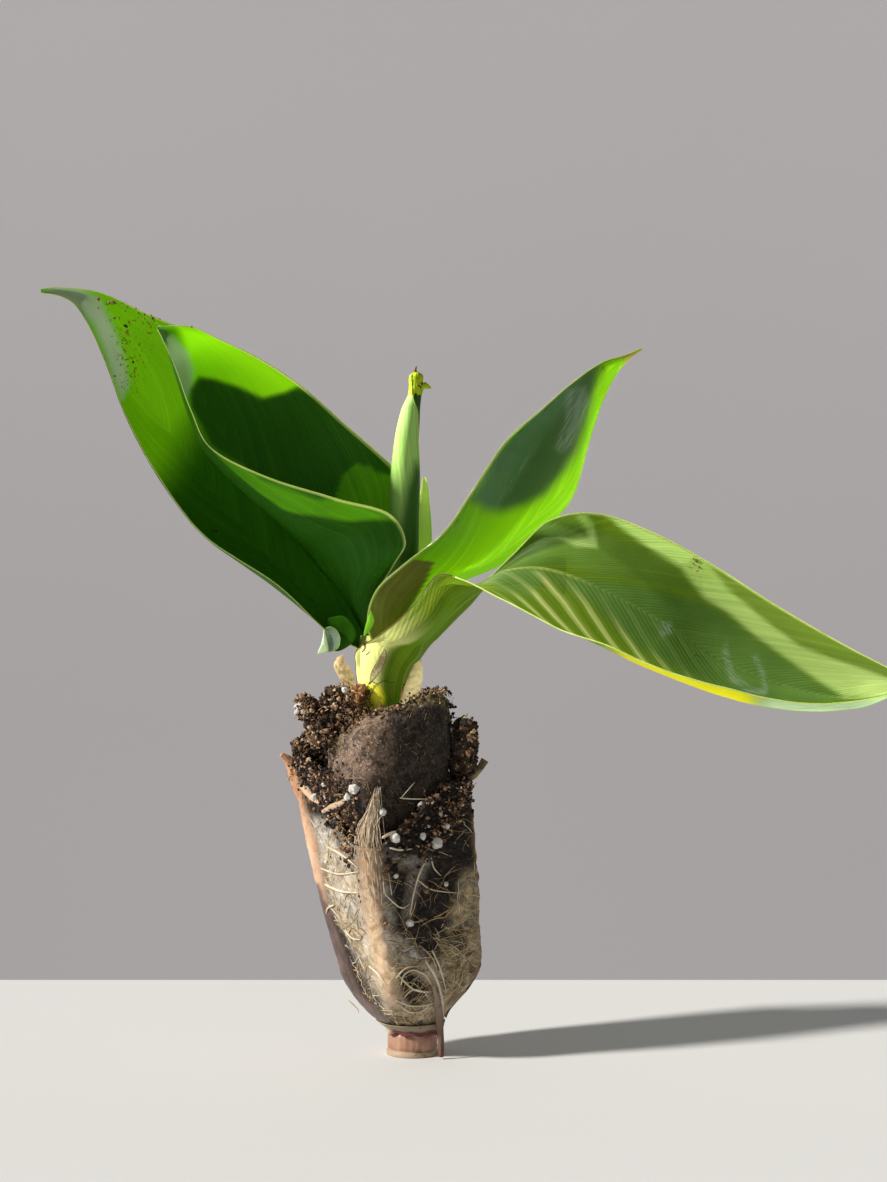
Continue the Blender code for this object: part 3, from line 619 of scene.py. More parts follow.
def make_looks():
    looks = {}
    dark, light, vein = (0.012, 0.072, 0.004), (0.040, 0.175, 0.006), (0.10, 0.34, 0.03)
    glow = ((0.12, 0.42, 0.002), (0.21, 0.66, 0.003), (0.30, 0.84, 0.01))
    # painted sheen of the left leaves: a grey sky reflection on their curled tips
    shade_and_sheen = ((0.050, 0.110, 0.055), (0.120, 0.200, 0.110))
    # outer left leaf: its second colour is painted shade over its lower right
    looks["outer_left"] = leaf_look(
        "leaf_outer_left_look", dark, light, vein, glow, 0.55, shade_and_sheen, ((0.020, 0.115, 0.002), (0.055, 0.27, 0.005)), (0.10, 0.22, 0.02),
        shade_and_sheen_glow=(0.44, 0.56, 0.36))
    # inner left leaf: its second colour is painted shade over its inside and under the lit band of its near half
    looks["inner_left"] = leaf_look(
        "leaf_inner_left_look", dark, light, vein, glow, 0.60, shade_and_sheen, ((0.012, 0.078, 0.002), (0.034, 0.18, 0.004)), (0.12, 0.28, 0.015),
        shade_and_sheen_glow=(0.40, 0.52, 0.32), glow_gain=0.20)
    # upper right leaf: the first pair is painted shadow with a grey sky reflection on its upper part, the second pair
    # painted shade on its basal lobe
    looks["upper_right"] = leaf_look(
        "leaf_upper_right_look", (0.030, 0.125, 0.004), (0.075, 0.230, 0.008), (0.20, 0.46, 0.04),
        ((0.18, 0.50, 0.002), (0.27, 0.70, 0.003), (0.38, 0.84, 0.01)), 0.50,
        ((0.034, 0.088, 0.034), (0.085, 0.160, 0.070)), ((0.095, 0.115, 0.010), (0.165, 0.185, 0.022)), (0.10, 0.22, 0.02))
    # far right leaf: the first pair is painted shadow of the upper right leaf, the second pair the underside strip
    # painted bright yellow as lit through, and the golden foot
    looks["far_right"] = leaf_look(
        "leaf_far_right_look", (0.038, 0.088, 0.002), (0.115, 0.180, 0.009), (0.44, 0.52, 0.13),
        ((0.24, 0.46, 0.01), (0.36, 0.62, 0.02), (0.5, 0.75, 0.05)), 0.34,
        ((0.040, 0.100, 0.014), (0.095, 0.190, 0.036)), ((0.92, 0.88, 0.005), (0.99, 0.96, 0.01)), (0.70, 0.88, 0.32),
        sweep=(24.0, 64.0), spacing=8.0, strength=0.16, bands=0.55, grain=0.70, edge=(0.62, 0.84, 0.50),
        second_glows=True, stalk=((0.09, 0.145, 0.003), (0.25, 0.32, 0.022), 42.0, 56.0))
    looks["rim"] = plain_look("leaf_rim_look", (0.62, 0.76, 0.20), (0.90, 0.96, 0.48), 180.0, 0.45, 0.2, 0.0001, 0.50, (0.86, 0.98, 0.30))
    looks["stem"] = sheath_look("stem_look", (0.30, 0.36, 0.04), (0.66, 0.70, 0.20), (0.80, 0.84, 0.42), (0.80, 0.56, 0.04), 0.15, (0.7, 0.75, 0.1))
    # rolled leaf and bud: the dark green foot is painted shade, and the rolled leaf's shade colour is painted shade in
    # the crevice by its fold and on its lower right side
    looks["spear"] = sheath_look("spear_look", (0.28, 0.58, 0.08), (0.50, 0.80, 0.22), (0.62, 0.88, 0.32), (0.10, 0.36, 0.01), 0.0, None, (0.018, 0.095, 0.003))
    looks["bud"] = sheath_look(
        "bud_look", (0.60, 0.82, 0.26), (0.84, 0.95, 0.54), (0.88, 0.96, 0.60), (0.14, 0.42, 0.01), 0.55, (0.78, 0.98, 0.30))
    looks["cap"] = plain_look("spear_cap_look", (0.46, 0.62, 0.003), (0.78, 0.95, 0.006), 420.0, 0.6, 0.6, 0.0003, 0.3, (0.8, 0.95, 0.02))
    # flap and auricle looks: painted shade on the outer leaf's curled lobe; the next look is painted sunlight on a
    # strip of that lobe, the one after a painted lit sliver of the upper right leaf
    looks["flap"] = plain_look("flap_look", (0.012, 0.066, 0.001), (0.036, 0.15, 0.003), 120.0, 0.45, 0.3, 0.0002, 0.2, (0.2, 0.6, 0.01), gloss=0.08)
    looks["auricle"] = plain_look("auricle_look", (0.10, 0.19, 0.11), (0.20, 0.30, 0.18), 130.0, 0.45, 0.3, 0.0002)
    looks["mint"] = plain_look("mint_look", (0.50, 0.76, 0.34), (0.76, 0.92, 0.62), 160.0, 0.45, 0.2, 0.0001)
    looks["bright"] = plain_look("bright_look", (0.20, 0.52, 0.01), (0.40, 0.80, 0.03), 160.0, 0.45, 0.2, 0.0001, 0.4, (0.4, 0.9, 0.02))
    looks["bract"] = plain_look("bract_look", (0.20, 0.16, 0.06), (0.62, 0.58, 0.32), 330.0, 0.7, 0.5, 0.0003)
    looks["dry"] = dry_look("dry_right_look", (0.74, 0.62, 0.32), (0.96, 0.92, 0.60), 1.0)
    looks["dry_pink"] = dry_look("dry_left_look", (0.80, 0.50, 0.34), (0.98, 0.80, 0.62), 0.35)
    looks["amber"] = plain_look("amber_look", (0.34, 0.15, 0.05), (0.80, 0.46, 0.20), 300.0, 0.7, 0.6, 0.0003, 0.2, (0.8, 0.4, 0.1))
    looks["brown"] = plain_look("dry_brown_look", (0.05, 0.022, 0.008), (0.22, 0.10, 0.035), 300.0, 0.8)
    looks["felt"] = felt_look()
    looks["mat"] = mat_look()
    looks["soil"] = plain_look("soil_look", (0.006, 0.004, 0.003), (0.13, 0.075, 0.042), 620.0, 0.85, 1.0, 0.0009)
    looks["crumb_dark"] = plain_look("crumb_dark_look", (0.005, 0.003, 0.002), (0.036, 0.021, 0.013), 700.0, 0.85, 0.8, 0.0004)
    looks["crumb_brown"] = plain_look("crumb_brown_look", (0.09, 0.042, 0.018), (0.34, 0.19, 0.10), 700.0, 0.8, 0.8, 0.0004)
    looks["crumb_tan"] = plain_look("crumb_tan_look", (0.30, 0.18, 0.095), (0.74, 0.52, 0.34), 700.0, 0.8, 0.8, 0.0004)
    looks["perlite"] = plain_look("perlite_look", (0.58, 0.55, 0.50), (0.86, 0.84, 0.80), 900.0, 0.7, 0.7, 0.0003, 0.15, (0.9, 0.88, 0.82))
    looks["root_pale"] = plain_look("root_pale_look", (0.66, 0.55, 0.38), (0.96, 0.88, 0.72), 260.0, 0.38, 0.3, 0.0001, 0.25, (0.9, 0.8, 0.6))
    looks["web"] = plain_look("web_look", (0.78, 0.62, 0.44), (0.98, 0.90, 0.76), 200.0, 0.5, 0.3, 0.0001, 0.35, (0.98, 0.88, 0.70))
    looks["root_tan"] = plain_look("root_tan_look", (0.44, 0.29, 0.12), (0.82, 0.60, 0.31), 260.0, 0.42, 0.3, 0.0001, 0.15, (0.8, 0.6, 0.3))
    looks["root_brown"] = plain_look("root_brown_look", (0.08, 0.045, 0.02), (0.24, 0.15, 0.07), 260.0, 0.5, 0.3, 0.0001)
    looks["film"] = film_look()
    looks["collar"] = collar_look()
    looks["twig"] = plain_look("twig_look", (0.02, 0.015, 0.008), (0.30, 0.22, 0.10), 380.0, 0.8, 0.9, 0.0004)
    looks["moss"] = plain_look("moss_look", (0.03, 0.035, 0.008), (0.16, 0.17, 0.03), 500.0, 0.85, 0.9, 0.0004)
    return looks


def dry_look(name, dark, light, browned):
    """Papery scale, brown along one edge."""
    look = Look(name, 0.75, 0.2)
    u, v = look.along()
    fibres = look.noise(1.0, 4.0, 0.7, where=look.vector(look.math("MULTIPLY", v, 18.0), look.math("MULTIPLY", u, 60.0)))
    base = look.mix(dark, light, look.span(fibres, 0.32, 0.62))
    edge = look.math("MULTIPLY", look.span(look.math("ABSOLUTE", look.math("SUBTRACT", v, 0.35)), 0.26, 0.40), browned)
    look.colour(look.mix(base, (0.14, 0.06, 0.02), look.math("MULTIPLY", edge, look.span(look.noise(300.0, 3.0), 0.40, 0.6))))
    look.bump(fibres, 0.7, 0.0004)
    look.glow(look.mix((0.95, 0.80, 0.42), (0.30, 0.12, 0.03), edge), 0.45)
    return look.material


def felt_look():
    """Peat plug: brown felt with pale lint and dark pits, darker on its right side and low at the front, partly compost
    that clings to it and partly painted shade.
    """
    look = Look("peat_look", 0.95, 0.1)
    broad = look.noise(95.0, 4.0, 0.6)
    grain = look.noise(1400.0, 5.0, 0.75)
    clump = look.noise(420.0, 5.0, 0.7)
    base = look.mix((0.060, 0.036, 0.024), (0.30, 0.195, 0.135), look.span(broad, 0.30, 0.66))
    base = look.mix(base, (0.72, 0.54, 0.40), look.math("MULTIPLY", look.span(grain, 0.53, 0.62), 0.85))
    base = look.mix(base, (0.012, 0.007, 0.005), look.math("MULTIPLY", look.span(clump, 0.51, 0.62), 0.85))
    # painted shade together with clinging compost: the marked right side and low front turn nearly black
    base = look.mix(base, (0.013, 0.008, 0.006), look.math("MULTIPLY", look.mark(0), look.span(clump, 0.62, 0.42, 0.55, 1.0)))
    moss = look.mix((0.10, 0.075, 0.020), (0.34, 0.28, 0.09), look.span(grain, 0.42, 0.60))
    base = look.mix(base, moss, look.math("MULTIPLY", look.mark(1), look.span(clump, 0.62, 0.44)))
    look.colour(base)
    look.shader.inputs["Sheen Weight"].default_value = 0.15
    look.shader.inputs["Sheen Roughness"].default_value = 0.6
    look.bump(look.math("ADD", look.math("MULTIPLY", grain, 0.7), clump), 1.0, 0.0010)
    return look.material


def mat_look():
    """Outside of the root ball: dark compost, a mat of tan roots and the thin wet film over them."""
    look = Look("root_mat_look", 0.5, 0.5)
    tan, haze, smooth = look.mark(0), look.mark(1), look.mark(2)
    orange, plum, pale = (look.mark(channel, "tint") for channel in range(3))
    grain = look.noise(900.0, 5.0, 0.7)
    soil = look.mix((0.004, 0.003, 0.0025), (0.075, 0.045, 0.028), look.span(grain, 0.44, 0.68))
    threads = look.noise(230.0, 5.0, 0.65, 2.6)
    strand = look.span(look.math("ABSOLUTE", look.math("SUBTRACT", threads, 0.5)), 0.050, 0.006)
    second = look.noise(420.0, 4.0, 0.6, 3.4)
    hair = look.span(look.math("ABSOLUTE", look.math("SUBTRACT", second, 0.5)), 0.040, 0.006)
    mat = look.mix((0.20, 0.13, 0.055), (0.80, 0.62, 0.34), look.span(look.noise(420.0, 4.0), 0.36, 0.66))
    holes = look.span(look.noise(210.0, 4.0, 0.6, 0.8), 0.50, 0.62)
    mat = look.mix(mat, (0.012, 0.008, 0.006), look.math("MULTIPLY", holes, 0.85))
    base = look.mix(soil, mat, look.math("MULTIPLY", tan, look.span(look.noise(150.0, 4.0), 0.15, 0.46)))
    wisp = look.noise(105.0, 5.0, 0.62, 2.4)
    veil = look.math("MULTIPLY", haze, look.span(wisp, 0.34, 0.62, 0.12, 1.0))
    base = look.mix(base, (0.96, 0.88, 0.80), look.math("MULTIPLY", veil, 0.88))
    web = look.math("MAXIMUM", strand, look.math("MULTIPLY", hair, 0.8))
    shown = look.math("MULTIPLY", look.math("ADD", tan, haze, clamp=True), 0.65)
    base = look.mix(base, (0.74, 0.63, 0.44), look.math("MULTIPLY", web, shown))
    # the film at the left corner: orange where it is lit, plum brown as painted shade low down
    lit_film = look.mix((0.74, 0.40, 0.22), (0.97, 0.70, 0.48), look.span(look.noise(95.0, 4.0, 0.6), 0.32, 0.68))
    base = look.mix(base, lit_film, look.math("MULTIPLY", orange, 0.92))
    tawny = look.mix((0.50, 0.28, 0.13), (0.86, 0.62, 0.40), look.span(look.noise(170.0, 5.0, 0.65, 1.2), 0.34, 0.62))
    base = look.mix(base, tawny, look.math("MULTIPLY", pale, 0.86))
    shaded_film = look.mix((0.040, 0.019, 0.014), (0.15, 0.080, 0.056), look.span(look.noise(150.0, 4.0), 0.35, 0.65))
    base = look.mix(base, shaded_film, look.math("MULTIPLY", plum, 0.95))
    dots = look.span(look.noise(620.0, 3.0), 0.66, 0.72)
    base = look.mix(base, (0.03, 0.018, 0.012), look.math("MULTIPLY", dots, 0.7))
    look.colour(base)
    look.rough(look.span(look.math("ADD", haze, look.math("ADD", tan, smooth)), 0.0, 1.0, 0.88, 0.40))
    look.shader.inputs["Coat Roughness"].default_value = 0.16
    look.wire(look.math("MULTIPLY", look.math("ADD", haze, look.math("MULTIPLY", smooth, 0.3)), 0.35, clamp=True), look.shader.inputs["Coat Weight"])
    height = look.math("ADD", look.math("MULTIPLY", grain, 0.4), look.math("MULTIPLY", web, 0.6))
    height = look.math("ADD", height, look.math("MULTIPLY", wisp, 1.1))
    rough_part = look.math("SUBTRACT", 1.0, look.math("MULTIPLY", smooth, 0.75))
    look.bump(look.math("MULTIPLY", height, rough_part), 0.9, 0.0005)
    return look.material


def film_look():
    """Thin terracotta film, orange above and plum brown low down, the plum brown being painted shade."""
    look = Look("film_look", 0.42, 0.25)
    split = look.node("ShaderNodeSeparateXYZ")
    look.wire(look.place(), split.inputs[0])
    height = look.math("ADD", split.outputs[2], look.math("MULTIPLY", look.noise(60.0, 2.0), 0.014))
    lit_film = look.mix((0.72, 0.38, 0.20), (0.96, 0.68, 0.44), look.span(look.noise(85.0, 5.0, 0.6), 0.30, 0.70))
    # painted shade: the film turns plum brown low down, and lets darker light through there
    low = look.mix((0.050, 0.026, 0.018), (0.16, 0.092, 0.062), look.span(look.noise(140.0, 4.0), 0.35, 0.65))
    base = look.mix(low, lit_film, look.span(height, 0.036, 0.062))
    base = look.mix(base, (0.72, 0.60, 0.42), look.math("MULTIPLY", look.mark(0), 0.85))
    # dark red: on the hem painted shade in the recess above the collar; the hanging strip darkens to it towards its
    # foot
    base = look.mix(base, (0.16, 0.025, 0.035), look.math("MULTIPLY", look.mark(1), 0.9))
    base = look.mix(base, (0.05, 0.025, 0.015), look.math("MULTIPLY", look.span(look.noise(500.0, 4.0), 0.60, 0.70), 0.5))
    look.colour(base)
    look.shader.inputs["Coat Weight"].default_value = 0.10
    look.shader.inputs["Coat Roughness"].default_value = 0.15
    crease = look.noise(1.0, 4.0, 0.6, 1.5, where=look.vector(look.math("MULTIPLY", split.outputs[0], 330.0), look.math("MULTIPLY", split.outputs[1], 330.0), look.math("MULTIPLY", split.outputs[2], 75.0)))
    look.bump(crease, 0.6, 0.0007)
    look.glow(look.mix((0.10, 0.05, 0.035), (0.90, 0.50, 0.26), look.span(height, 0.036, 0.062)), 0.30)
    return look.material


def collar_look():
    look = Look("collar_look", 0.42, 0.5)
    split = look.node("ShaderNodeSeparateXYZ")
    look.wire(look.place(), split.inputs[0])
    stain = look.noise(150.0, 4.0, 0.6)
    base = look.mix((0.34, 0.165, 0.105), (0.54, 0.30, 0.20), look.span(stain, 0.3, 0.7))
    base = look.mix(base, (0.50, 0.36, 0.24), look.span(split.outputs[2], 0.0021, 0.0013))
    base = look.mix(base, (0.10, 0.055, 0.03), look.math("MULTIPLY", look.span(look.noise(420.0, 3.0), 0.60, 0.70), 0.6))
    look.colour(base)
    look.bump(look.noise(500.0, 3.0), 0.4, 0.0002)
    look.shader.inputs["Coat Weight"].default_value = 0.2
    look.glow((0.8, 0.45, 0.3), 0.15)
    return look.material


# ---- leaves
def leaf_points(stations, side, belly, rows, columns, start=0.0, end=1.0):
    """Inner face as a grid of points, the rib's length and each row's place along it."""
    knots = [0.0]
    for before, after in zip(stations, stations[1:]):
        knots.append(knots[-1] + (Vector(after.rib) - Vector(before.rib)).length)
    length = knots[-1]
    fields = {name: [Vector(getattr(item, name)) for item in stations] for name in ("near", "rib", "far")}
    bows = {name: [getattr(item, name) for item in stations] for name in ("near_bow", "far_bow")}
    grid, places = [], []
    for row in range(rows + 1):
        at = length * (start + (end - start) * row / rows)
        near, rib, far = (smooth_value(knots, fields[name], at) for name in ("near", "rib", "far"))
        ahead = smooth_value(knots, fields["rib"], min(at + length / 100, length))
        forward = (ahead - smooth_value(knots, fields["rib"], max(at - length / 100, 0.0))).normalized()
        power = 1.0 + (belly - 1.0) * min(1.0, 4 * at / length)
        peak = (power / (power + 1)) ** power / (power + 1)
        line = []
        for sense, edge, bow_name in ((-1, near, "near_bow"), (1, far, "far_bow")):
            across = edge - rib
            outward = across.cross(forward).normalized() * (-side * sense)
            bow = max(0.0, smooth_value(knots, bows[bow_name], at))
            half = []
            for column in range(columns + 1):
                part = column / columns
                swell = part**power * (1 - part) / peak
                half.append((rib + across * part + outward * (bow * swell))[:])
            line += half[:0:-1] if sense < 0 else half
        grid.append(line)
        places.append([(at / RIB_SCALE, 0.5 + 0.5 * (column / columns)) for column in range(-columns, columns + 1)])
    return np.array(grid), np.array(places), length


# zones: channel, weight, softness and outline in the photo's pixels. The channels are painted shade and sheen,
# pale scuffs with a painted highlight streak, a second colour that is mostly painted shade, painted light, dirt and dry
# edges
LeafPlan = namedtuple("LeafPlan", "name stations side belly keel keel_reach nodes waves zones")
SHEATH_FOOT = (
    ring_station((5.9, 5.7), (196, 325, 415), 3.3, 1.7, 96.5, -8.75),
    ring_station((7.1, 6.5), (194, 325, 415), 3.9, 1.95, 103.0, -9.1),
    ring_station((8.1, 7.6), (192, 325, 415), 4.6, 2.2, 108.5, -8.5),
    Station((-16.0, -2.6, 113.2), (0.8, -5.0, 112.2), (-2.5, 6.2, 112.8), 4.9, 2.4),
)
LEAF_PLANS = (
    # outer left leaf: painted sheen at the tip, painted shade over the lower right, painted light near the tip, and
    # dirt specks
    LeafPlan("outer_left", OUTER_LEFT, 1, 1.0, 0.8, 0.10, ("leaf_outer_left",), 0.35, (
        (0, 0.95, 5.0, [(38, 284), (80, 288), (99, 300), (107, 315), (116, 335), (124, 360), (128, 384), (122, 398),
                        (112, 372), (103, 345), (94, 325), (82, 312), (60, 300)]),
        (2, 0.97, 30.0, [(232, 330), (216, 392), (194, 436), (172, 476), (150, 500), (150, 540), (236, 620), (330, 690),
                         (420, 690), (420, 330)]),
        (3, 0.25, 12.0, [(100, 300), (160, 318), (182, 352), (196, 400), (176, 428), (146, 418), (122, 372), (110, 330)]),
        (4, 1.0, 6.0, [(108, 296), (160, 318), (152, 345), (138, 395), (122, 388), (116, 350), (106, 318)]),
    )),
    # inner left leaf: painted sheen at the tip, painted shade over its inside and its near half, and painted light
    # along the top
    LeafPlan("inner_left", INNER_LEFT, 1, 1.0, 0.7, 0.10, ("leaf_inner_left",), 0.30, (
        (0, 0.9, 4.0, [(157, 326), (172, 336), (187, 352), (193, 368), (192, 392), (186, 396), (174, 368), (163, 346)]),
        (2, 0.95, 4.0, [(297, 388), (318, 396), (330, 406), (352, 426), (376, 446), (396, 462), (392, 480), (372, 470),
                        (358, 464), (344, 476), (336, 500), (318, 500), (262, 480), (236, 462), (212, 445), (192, 408),
                        (191, 390), (199, 378), (214, 380), (239, 388), (262, 399), (285, 393)]),
        (2, 0.97, 5.0, [(205, 440), (232, 476), (262, 496), (288, 512), (317, 524), (361, 533), (379, 541), (408, 545),
                        (412, 575), (380, 640), (340, 640), (290, 580), (230, 520), (190, 450)]),
        (2, 0.40, 7.0, [(190, 415), (230, 440), (262, 476), (303, 486), (339, 496), (376, 505), (410, 520), (410, 545),
                        (361, 536), (288, 515), (225, 478), (196, 440)]),
        (2, 0.60, 4.0, [(336, 455), (400, 455), (400, 520), (336, 505)]),
        (3, 0.9, 6.0, [(178, 326), (215, 334), (250, 352), (300, 384), (285, 394), (262, 399), (239, 388), (214, 380),
                       (199, 378), (190, 388), (186, 352)]),
    )),
    # upper right leaf: painted shadow over the upper part, a painted highlight streak, painted shade on the basal lobe,
    # a dry tip and dirt
    LeafPlan("upper_right", UPPER_RIGHT, -1, 1.0, 0.7, 0.10, ("leaf_upper_right",), 0.30, (
        (0, 0.97, 8.0, [(470, 500), (486, 510), (502, 512), (526, 505), (545, 495), (562, 474), (577, 453), (590, 412),
                       (597, 382), (600, 366), (590, 366), (572, 380), (545, 402), (515, 430), (492, 458), (480, 482)]),
        (1, 0.7, 3.0, [(567, 390), (586, 386), (590, 404), (582, 424), (572, 444), (560, 454), (555, 447), (565, 424)]),
        (2, 1.0, 1.5, [(361, 640), (370, 600), (379, 578), (394, 563), (415, 560), (433, 562), (426, 580), (415, 600),
                       (400, 622), (380, 640)]),
        (5, 1.0, 3.0, [(622, 346), (645, 344), (645, 358), (622, 362)]),
        (4, 1.0, 2.0, [(446, 518), (456, 518), (456, 528), (446, 528)]),
        (4, 1.0, 2.0, [(598, 364), (606, 364), (606, 372), (598, 372)]),
    )),
    # far right leaf: painted shadow of the upper right leaf and painted shade near the base, pale scuffs, painted light
    # on the far strip and a hook-shaped patch, the golden foot and dirt
    LeafPlan("far_right", SHEATH_FOOT + FAR_RIGHT[1:], -1, 2.0, 2.9, 0.30, ("stalk_far_right", "leaf_far_right"), 0.40, (
        (0, 0.95, 9.0, [(545, 572), (600, 580), (660, 588), (704, 600), (727, 614), (754, 636), (781, 656), (821, 684), (843, 698),
                        (868, 700), (850, 710), (782, 708), (711, 688), (680, 674), (640, 650), (600, 612)]),
        (0, 0.62, 7.0, [(462, 574), (500, 546), (530, 531), (560, 524), (600, 530), (640, 545), (680, 568), (704, 598), (660, 588),
                        (600, 576), (560, 564), (530, 564), (500, 568)]),
        (0, 0.70, 6.0, [(460, 578), (480, 568), (534, 566), (548, 574), (530, 596), (505, 594), (480, 582)]),
        (1, 0.45, 2.5, [(722, 652), (726, 640), (729, 655), (735, 675), (752, 688), (767, 690), (766, 695), (748, 693), (730, 681)]),
        (1, 0.4, 2.5, [(752, 655), (757, 655), (764, 672), (768, 690), (764, 690), (760, 673)]),
        (1, 0.35, 2.5, [(661, 622), (672, 622), (672, 634), (661, 636)]),
        (3, 1.0, 2.5, [(600, 508), (640, 520), (664, 530), (700, 552), (692, 562), (680, 566), (651, 549), (619, 526)]),
        (3, 0.75, 3.0, [(700, 578), (727, 588), (765, 620), (800, 646), (832, 658), (890, 678), (890, 696), (845, 698), (821, 683),
                       (781, 655), (754, 635), (727, 612), (704, 598)]),
        (3, 0.12, 5.0, [(690, 556), (740, 580), (800, 614), (850, 645), (892, 664), (892, 685), (832, 660), (800, 648), (765, 622),
                        (727, 590), (696, 574)]),
        (3, 0.25, 4.0, [(528, 524), (556, 512), (580, 512), (592, 530), (590, 542), (566, 534), (545, 528)]),
        (3, 1.0, 2.6, [(528, 522), (556, 524), (574, 531), (588, 538), (584, 528), (572, 511), (583, 511), (593, 524), (598, 548),
                       (576, 546), (556, 537), (528, 532)]),
        (3, 0.62, 3.5, [(678, 564), (700, 552), (728, 588), (728, 612), (704, 599)]),
        (2, 0.80, 2.5, [(358, 692), (368, 684), (380, 685), (385, 696), (383, 720), (366, 716)]),
        (4, 1.0, 2.5, [(688, 558), (700, 570), (702, 582), (692, 580)]),
    )),
)
LEAF_ROWS, LEAF_COLUMNS = 190, 22


def make_leaf(plan, looks):
    grid, places, length = leaf_points(plan.stations, plan.side, plan.belly, LEAF_ROWS, LEAF_COLUMNS)
    normal = normals_of(grid)
    normal *= outward_sign(grid, normal)
    share = np.linspace(0, 1, LEAF_ROWS + 1)[:, None]
    part = np.linspace(-1, 1, 2 * LEAF_COLUMNS + 1)[None, :]
    flat = grid.reshape(-1, 3)
    broad = noise_at(flat, 0.045, 1, 3.1 * len(plan.name)).reshape(grid.shape[:2])
    small = noise_at(flat, 0.13, 1, 1.3 * len(plan.name)).reshape(grid.shape[:2])
    swing = ease(share / 0.25) * ease((1 - share) / 0.08)
    grid = grid + normal * (plan.waves * swing * (broad * (0.4 + 0.6 * part**2) + 0.35 * small * part**2))[..., None]
    if plan.name != "far_right":
        ridge = plan.keel * (1 - share) * np.maximum(0.0, 1 - (part / plan.keel_reach) ** 2) ** 0.7
        grid = grid + normal * ridge[..., None]
    marks, tint = np.zeros(grid.shape), np.zeros(grid.shape)
    if plan.name == "far_right":
        # the near margin turns up and shows a strip of the underside, its bright yellow painted as the light that
        # shines through it
        turned = ease((-part - 0.82) / 0.18) * ease((share - 0.38) / 0.10) * ease((0.98 - share) / 0.1)
        grid[..., 2] += 1.9 * turned
        grid[..., 1] -= 0.5 * turned
        strip = ease((share - 0.46) / 0.05) * ease((0.74 - share) / 0.05)
        marks[..., 2] = ease((-part - 0.70) / 0.05) * strip
        tint[..., 2] = ease((-part - 0.80) / 0.05) * ease((share - 0.70) / 0.05)
    for channel, weight, soft, outline in plan.zones:
        field = marks if channel < 3 else tint
        field[..., channel % 3] = np.maximum(field[..., channel % 3], zone(grid, outline, soft) * weight)
    rows, columns = grid.shape[:2]
    faces = grid_faces(rows, columns, flip=plan.side > 0)
    blade = make_piece(plan.name + "_blade", grid, faces, [looks[plan.name]], places, {"marks": marks, "tint": tint})
    wear_piece(blade, plan.nodes)
    rims = Heap()
    radii = (0.24 if plan.name == "far_right" else 0.20) * (1 - 0.4 * share[:, 0])
    torn = int(rows * 0.24) if plan.name == "far_right" else 0
    if torn:
        make_stalk(plan, grid, normal, places, marks, tint, share, looks)
        add_tube(rims, grid[:torn, 0], 0.14, 6, 1)
    add_tube(rims, grid[torn:, 0], radii[torn:], 6)
    add_tube(rims, grid[:, -1], radii, 6)
    wear_piece(rims.piece(plan.name + "_rim", [looks["rim"], looks["brown"]]))
    return grid


def make_stalk(plan, grid, normal, places, marks, tint, share, looks):
    """Rounded stalk and rib that stand out of the outer face of the far right leaf."""
    rows, columns = grid.shape[:2]
    reach = plan.keel_reach + (0.90 - plan.keel_reach) * (1 - ease((share - 0.15) / 0.20))
    depth = plan.keel * (1 - share) ** 1.3 * (1 - ease((share - 0.28) / 0.11)) * ease((share - 0.03) / 0.14)
    count = 15
    across = np.linspace(-1, 1, count)[None, :]
    column = (across * reach * LEAF_COLUMNS + LEAF_COLUMNS).clip(0, columns - 1)
    low = np.floor(column).astype(int).clip(0, columns - 2)
    blend = (column - low)[..., None]
    index = np.arange(rows)[:, None]
    swell = depth * np.maximum(0.0, 1 - across**2) ** 0.7 - 0.04

    def between(field):
        return field[index, low] * (1 - blend) + field[index, low + 1] * blend

    keel = between(grid) + between(normal) * swell[..., None]
    last = int(rows * 0.40)
    faces = grid_faces(last, count, flip=plan.side > 0)
    zones = {"marks": between(marks)[:last], "tint": between(tint)[:last]}
    ridge = make_piece(plan.name + "_keel", keel[:last], faces, [looks[plan.name]], between(places)[:last], zones)
    wear_piece(ridge)


def outward_sign(grid, normal):
    """1 or -1, so that the grid's normal points to the leaf's outer face."""
    middle = grid.shape[0] // 2
    centre = (grid.shape[1] - 1) // 2
    chord = (grid[middle, 0] + grid[middle, -1]) / 2
    return 1.0 if (grid[middle, centre] - chord).dot(normal[middle, centre]) > 0 else -1.0


def nearest_on(grid, px, py):
    """Row and column of the grid point that shows nearest to a pixel."""
    scale = FOCAL / (grid[..., 1] - EYE[1])
    x = PHOTO_CENTRE[0] + (grid[..., 0] - EYE[0]) * scale
    y = PHOTO_CENTRE[1] - (grid[..., 2] - EYE[2]) * scale
    return np.unravel_index(np.argmin((x - px) ** 2 + (y - py) ** 2), x.shape)


# ---- rolled leaves and stem
SPEAR_OVERLAP = 0.12


def oval_grid(sections, rows, columns, overlap=0.0, turn=0.0):
    """Rings through ovals. An overlap rolls the ring into a spiral with one free edge."""
    knots = [section.height for section in sections]
    grid, places = [], []
    for row in range(rows + 1):
        height = knots[0] + (knots[-1] - knots[0]) * row / rows
        centre, depth, wide, deep = (
            smooth_value(knots, [getattr(section, field) for section in sections], height)
            for field in ("centre", "depth", "half_width", "half_depth"))
        line = []
        for column in range(columns + 1):
            share = column / columns
            angle = (turn(height) if callable(turn) else turn) + TAU * share * (1 + overlap)
            roll = 1.0 - 0.16 * (1 - share) if overlap else 1.0
            line.append((centre + wide * roll * math.cos(angle), depth + deep * roll * math.sin(angle), height))
        grid.append(line)
        places.append([(row / rows, column / columns) for column in range(columns + 1)])
    return np.array(grid), np.array(places)


def fold_of(height):
    """Angle where the rolled leaf's free edge starts from, so that the edge climbs to the left."""
    edge = np.interp(height, (112.5, 150.0, 160.0, 170.0, 180.0, 185.0, 190.3), (25.0, 15.0, -5.0, -30.0, -54.0, -120.0, -135.0))
    return math.radians(float(edge)) - TAU * SPEAR_OVERLAP


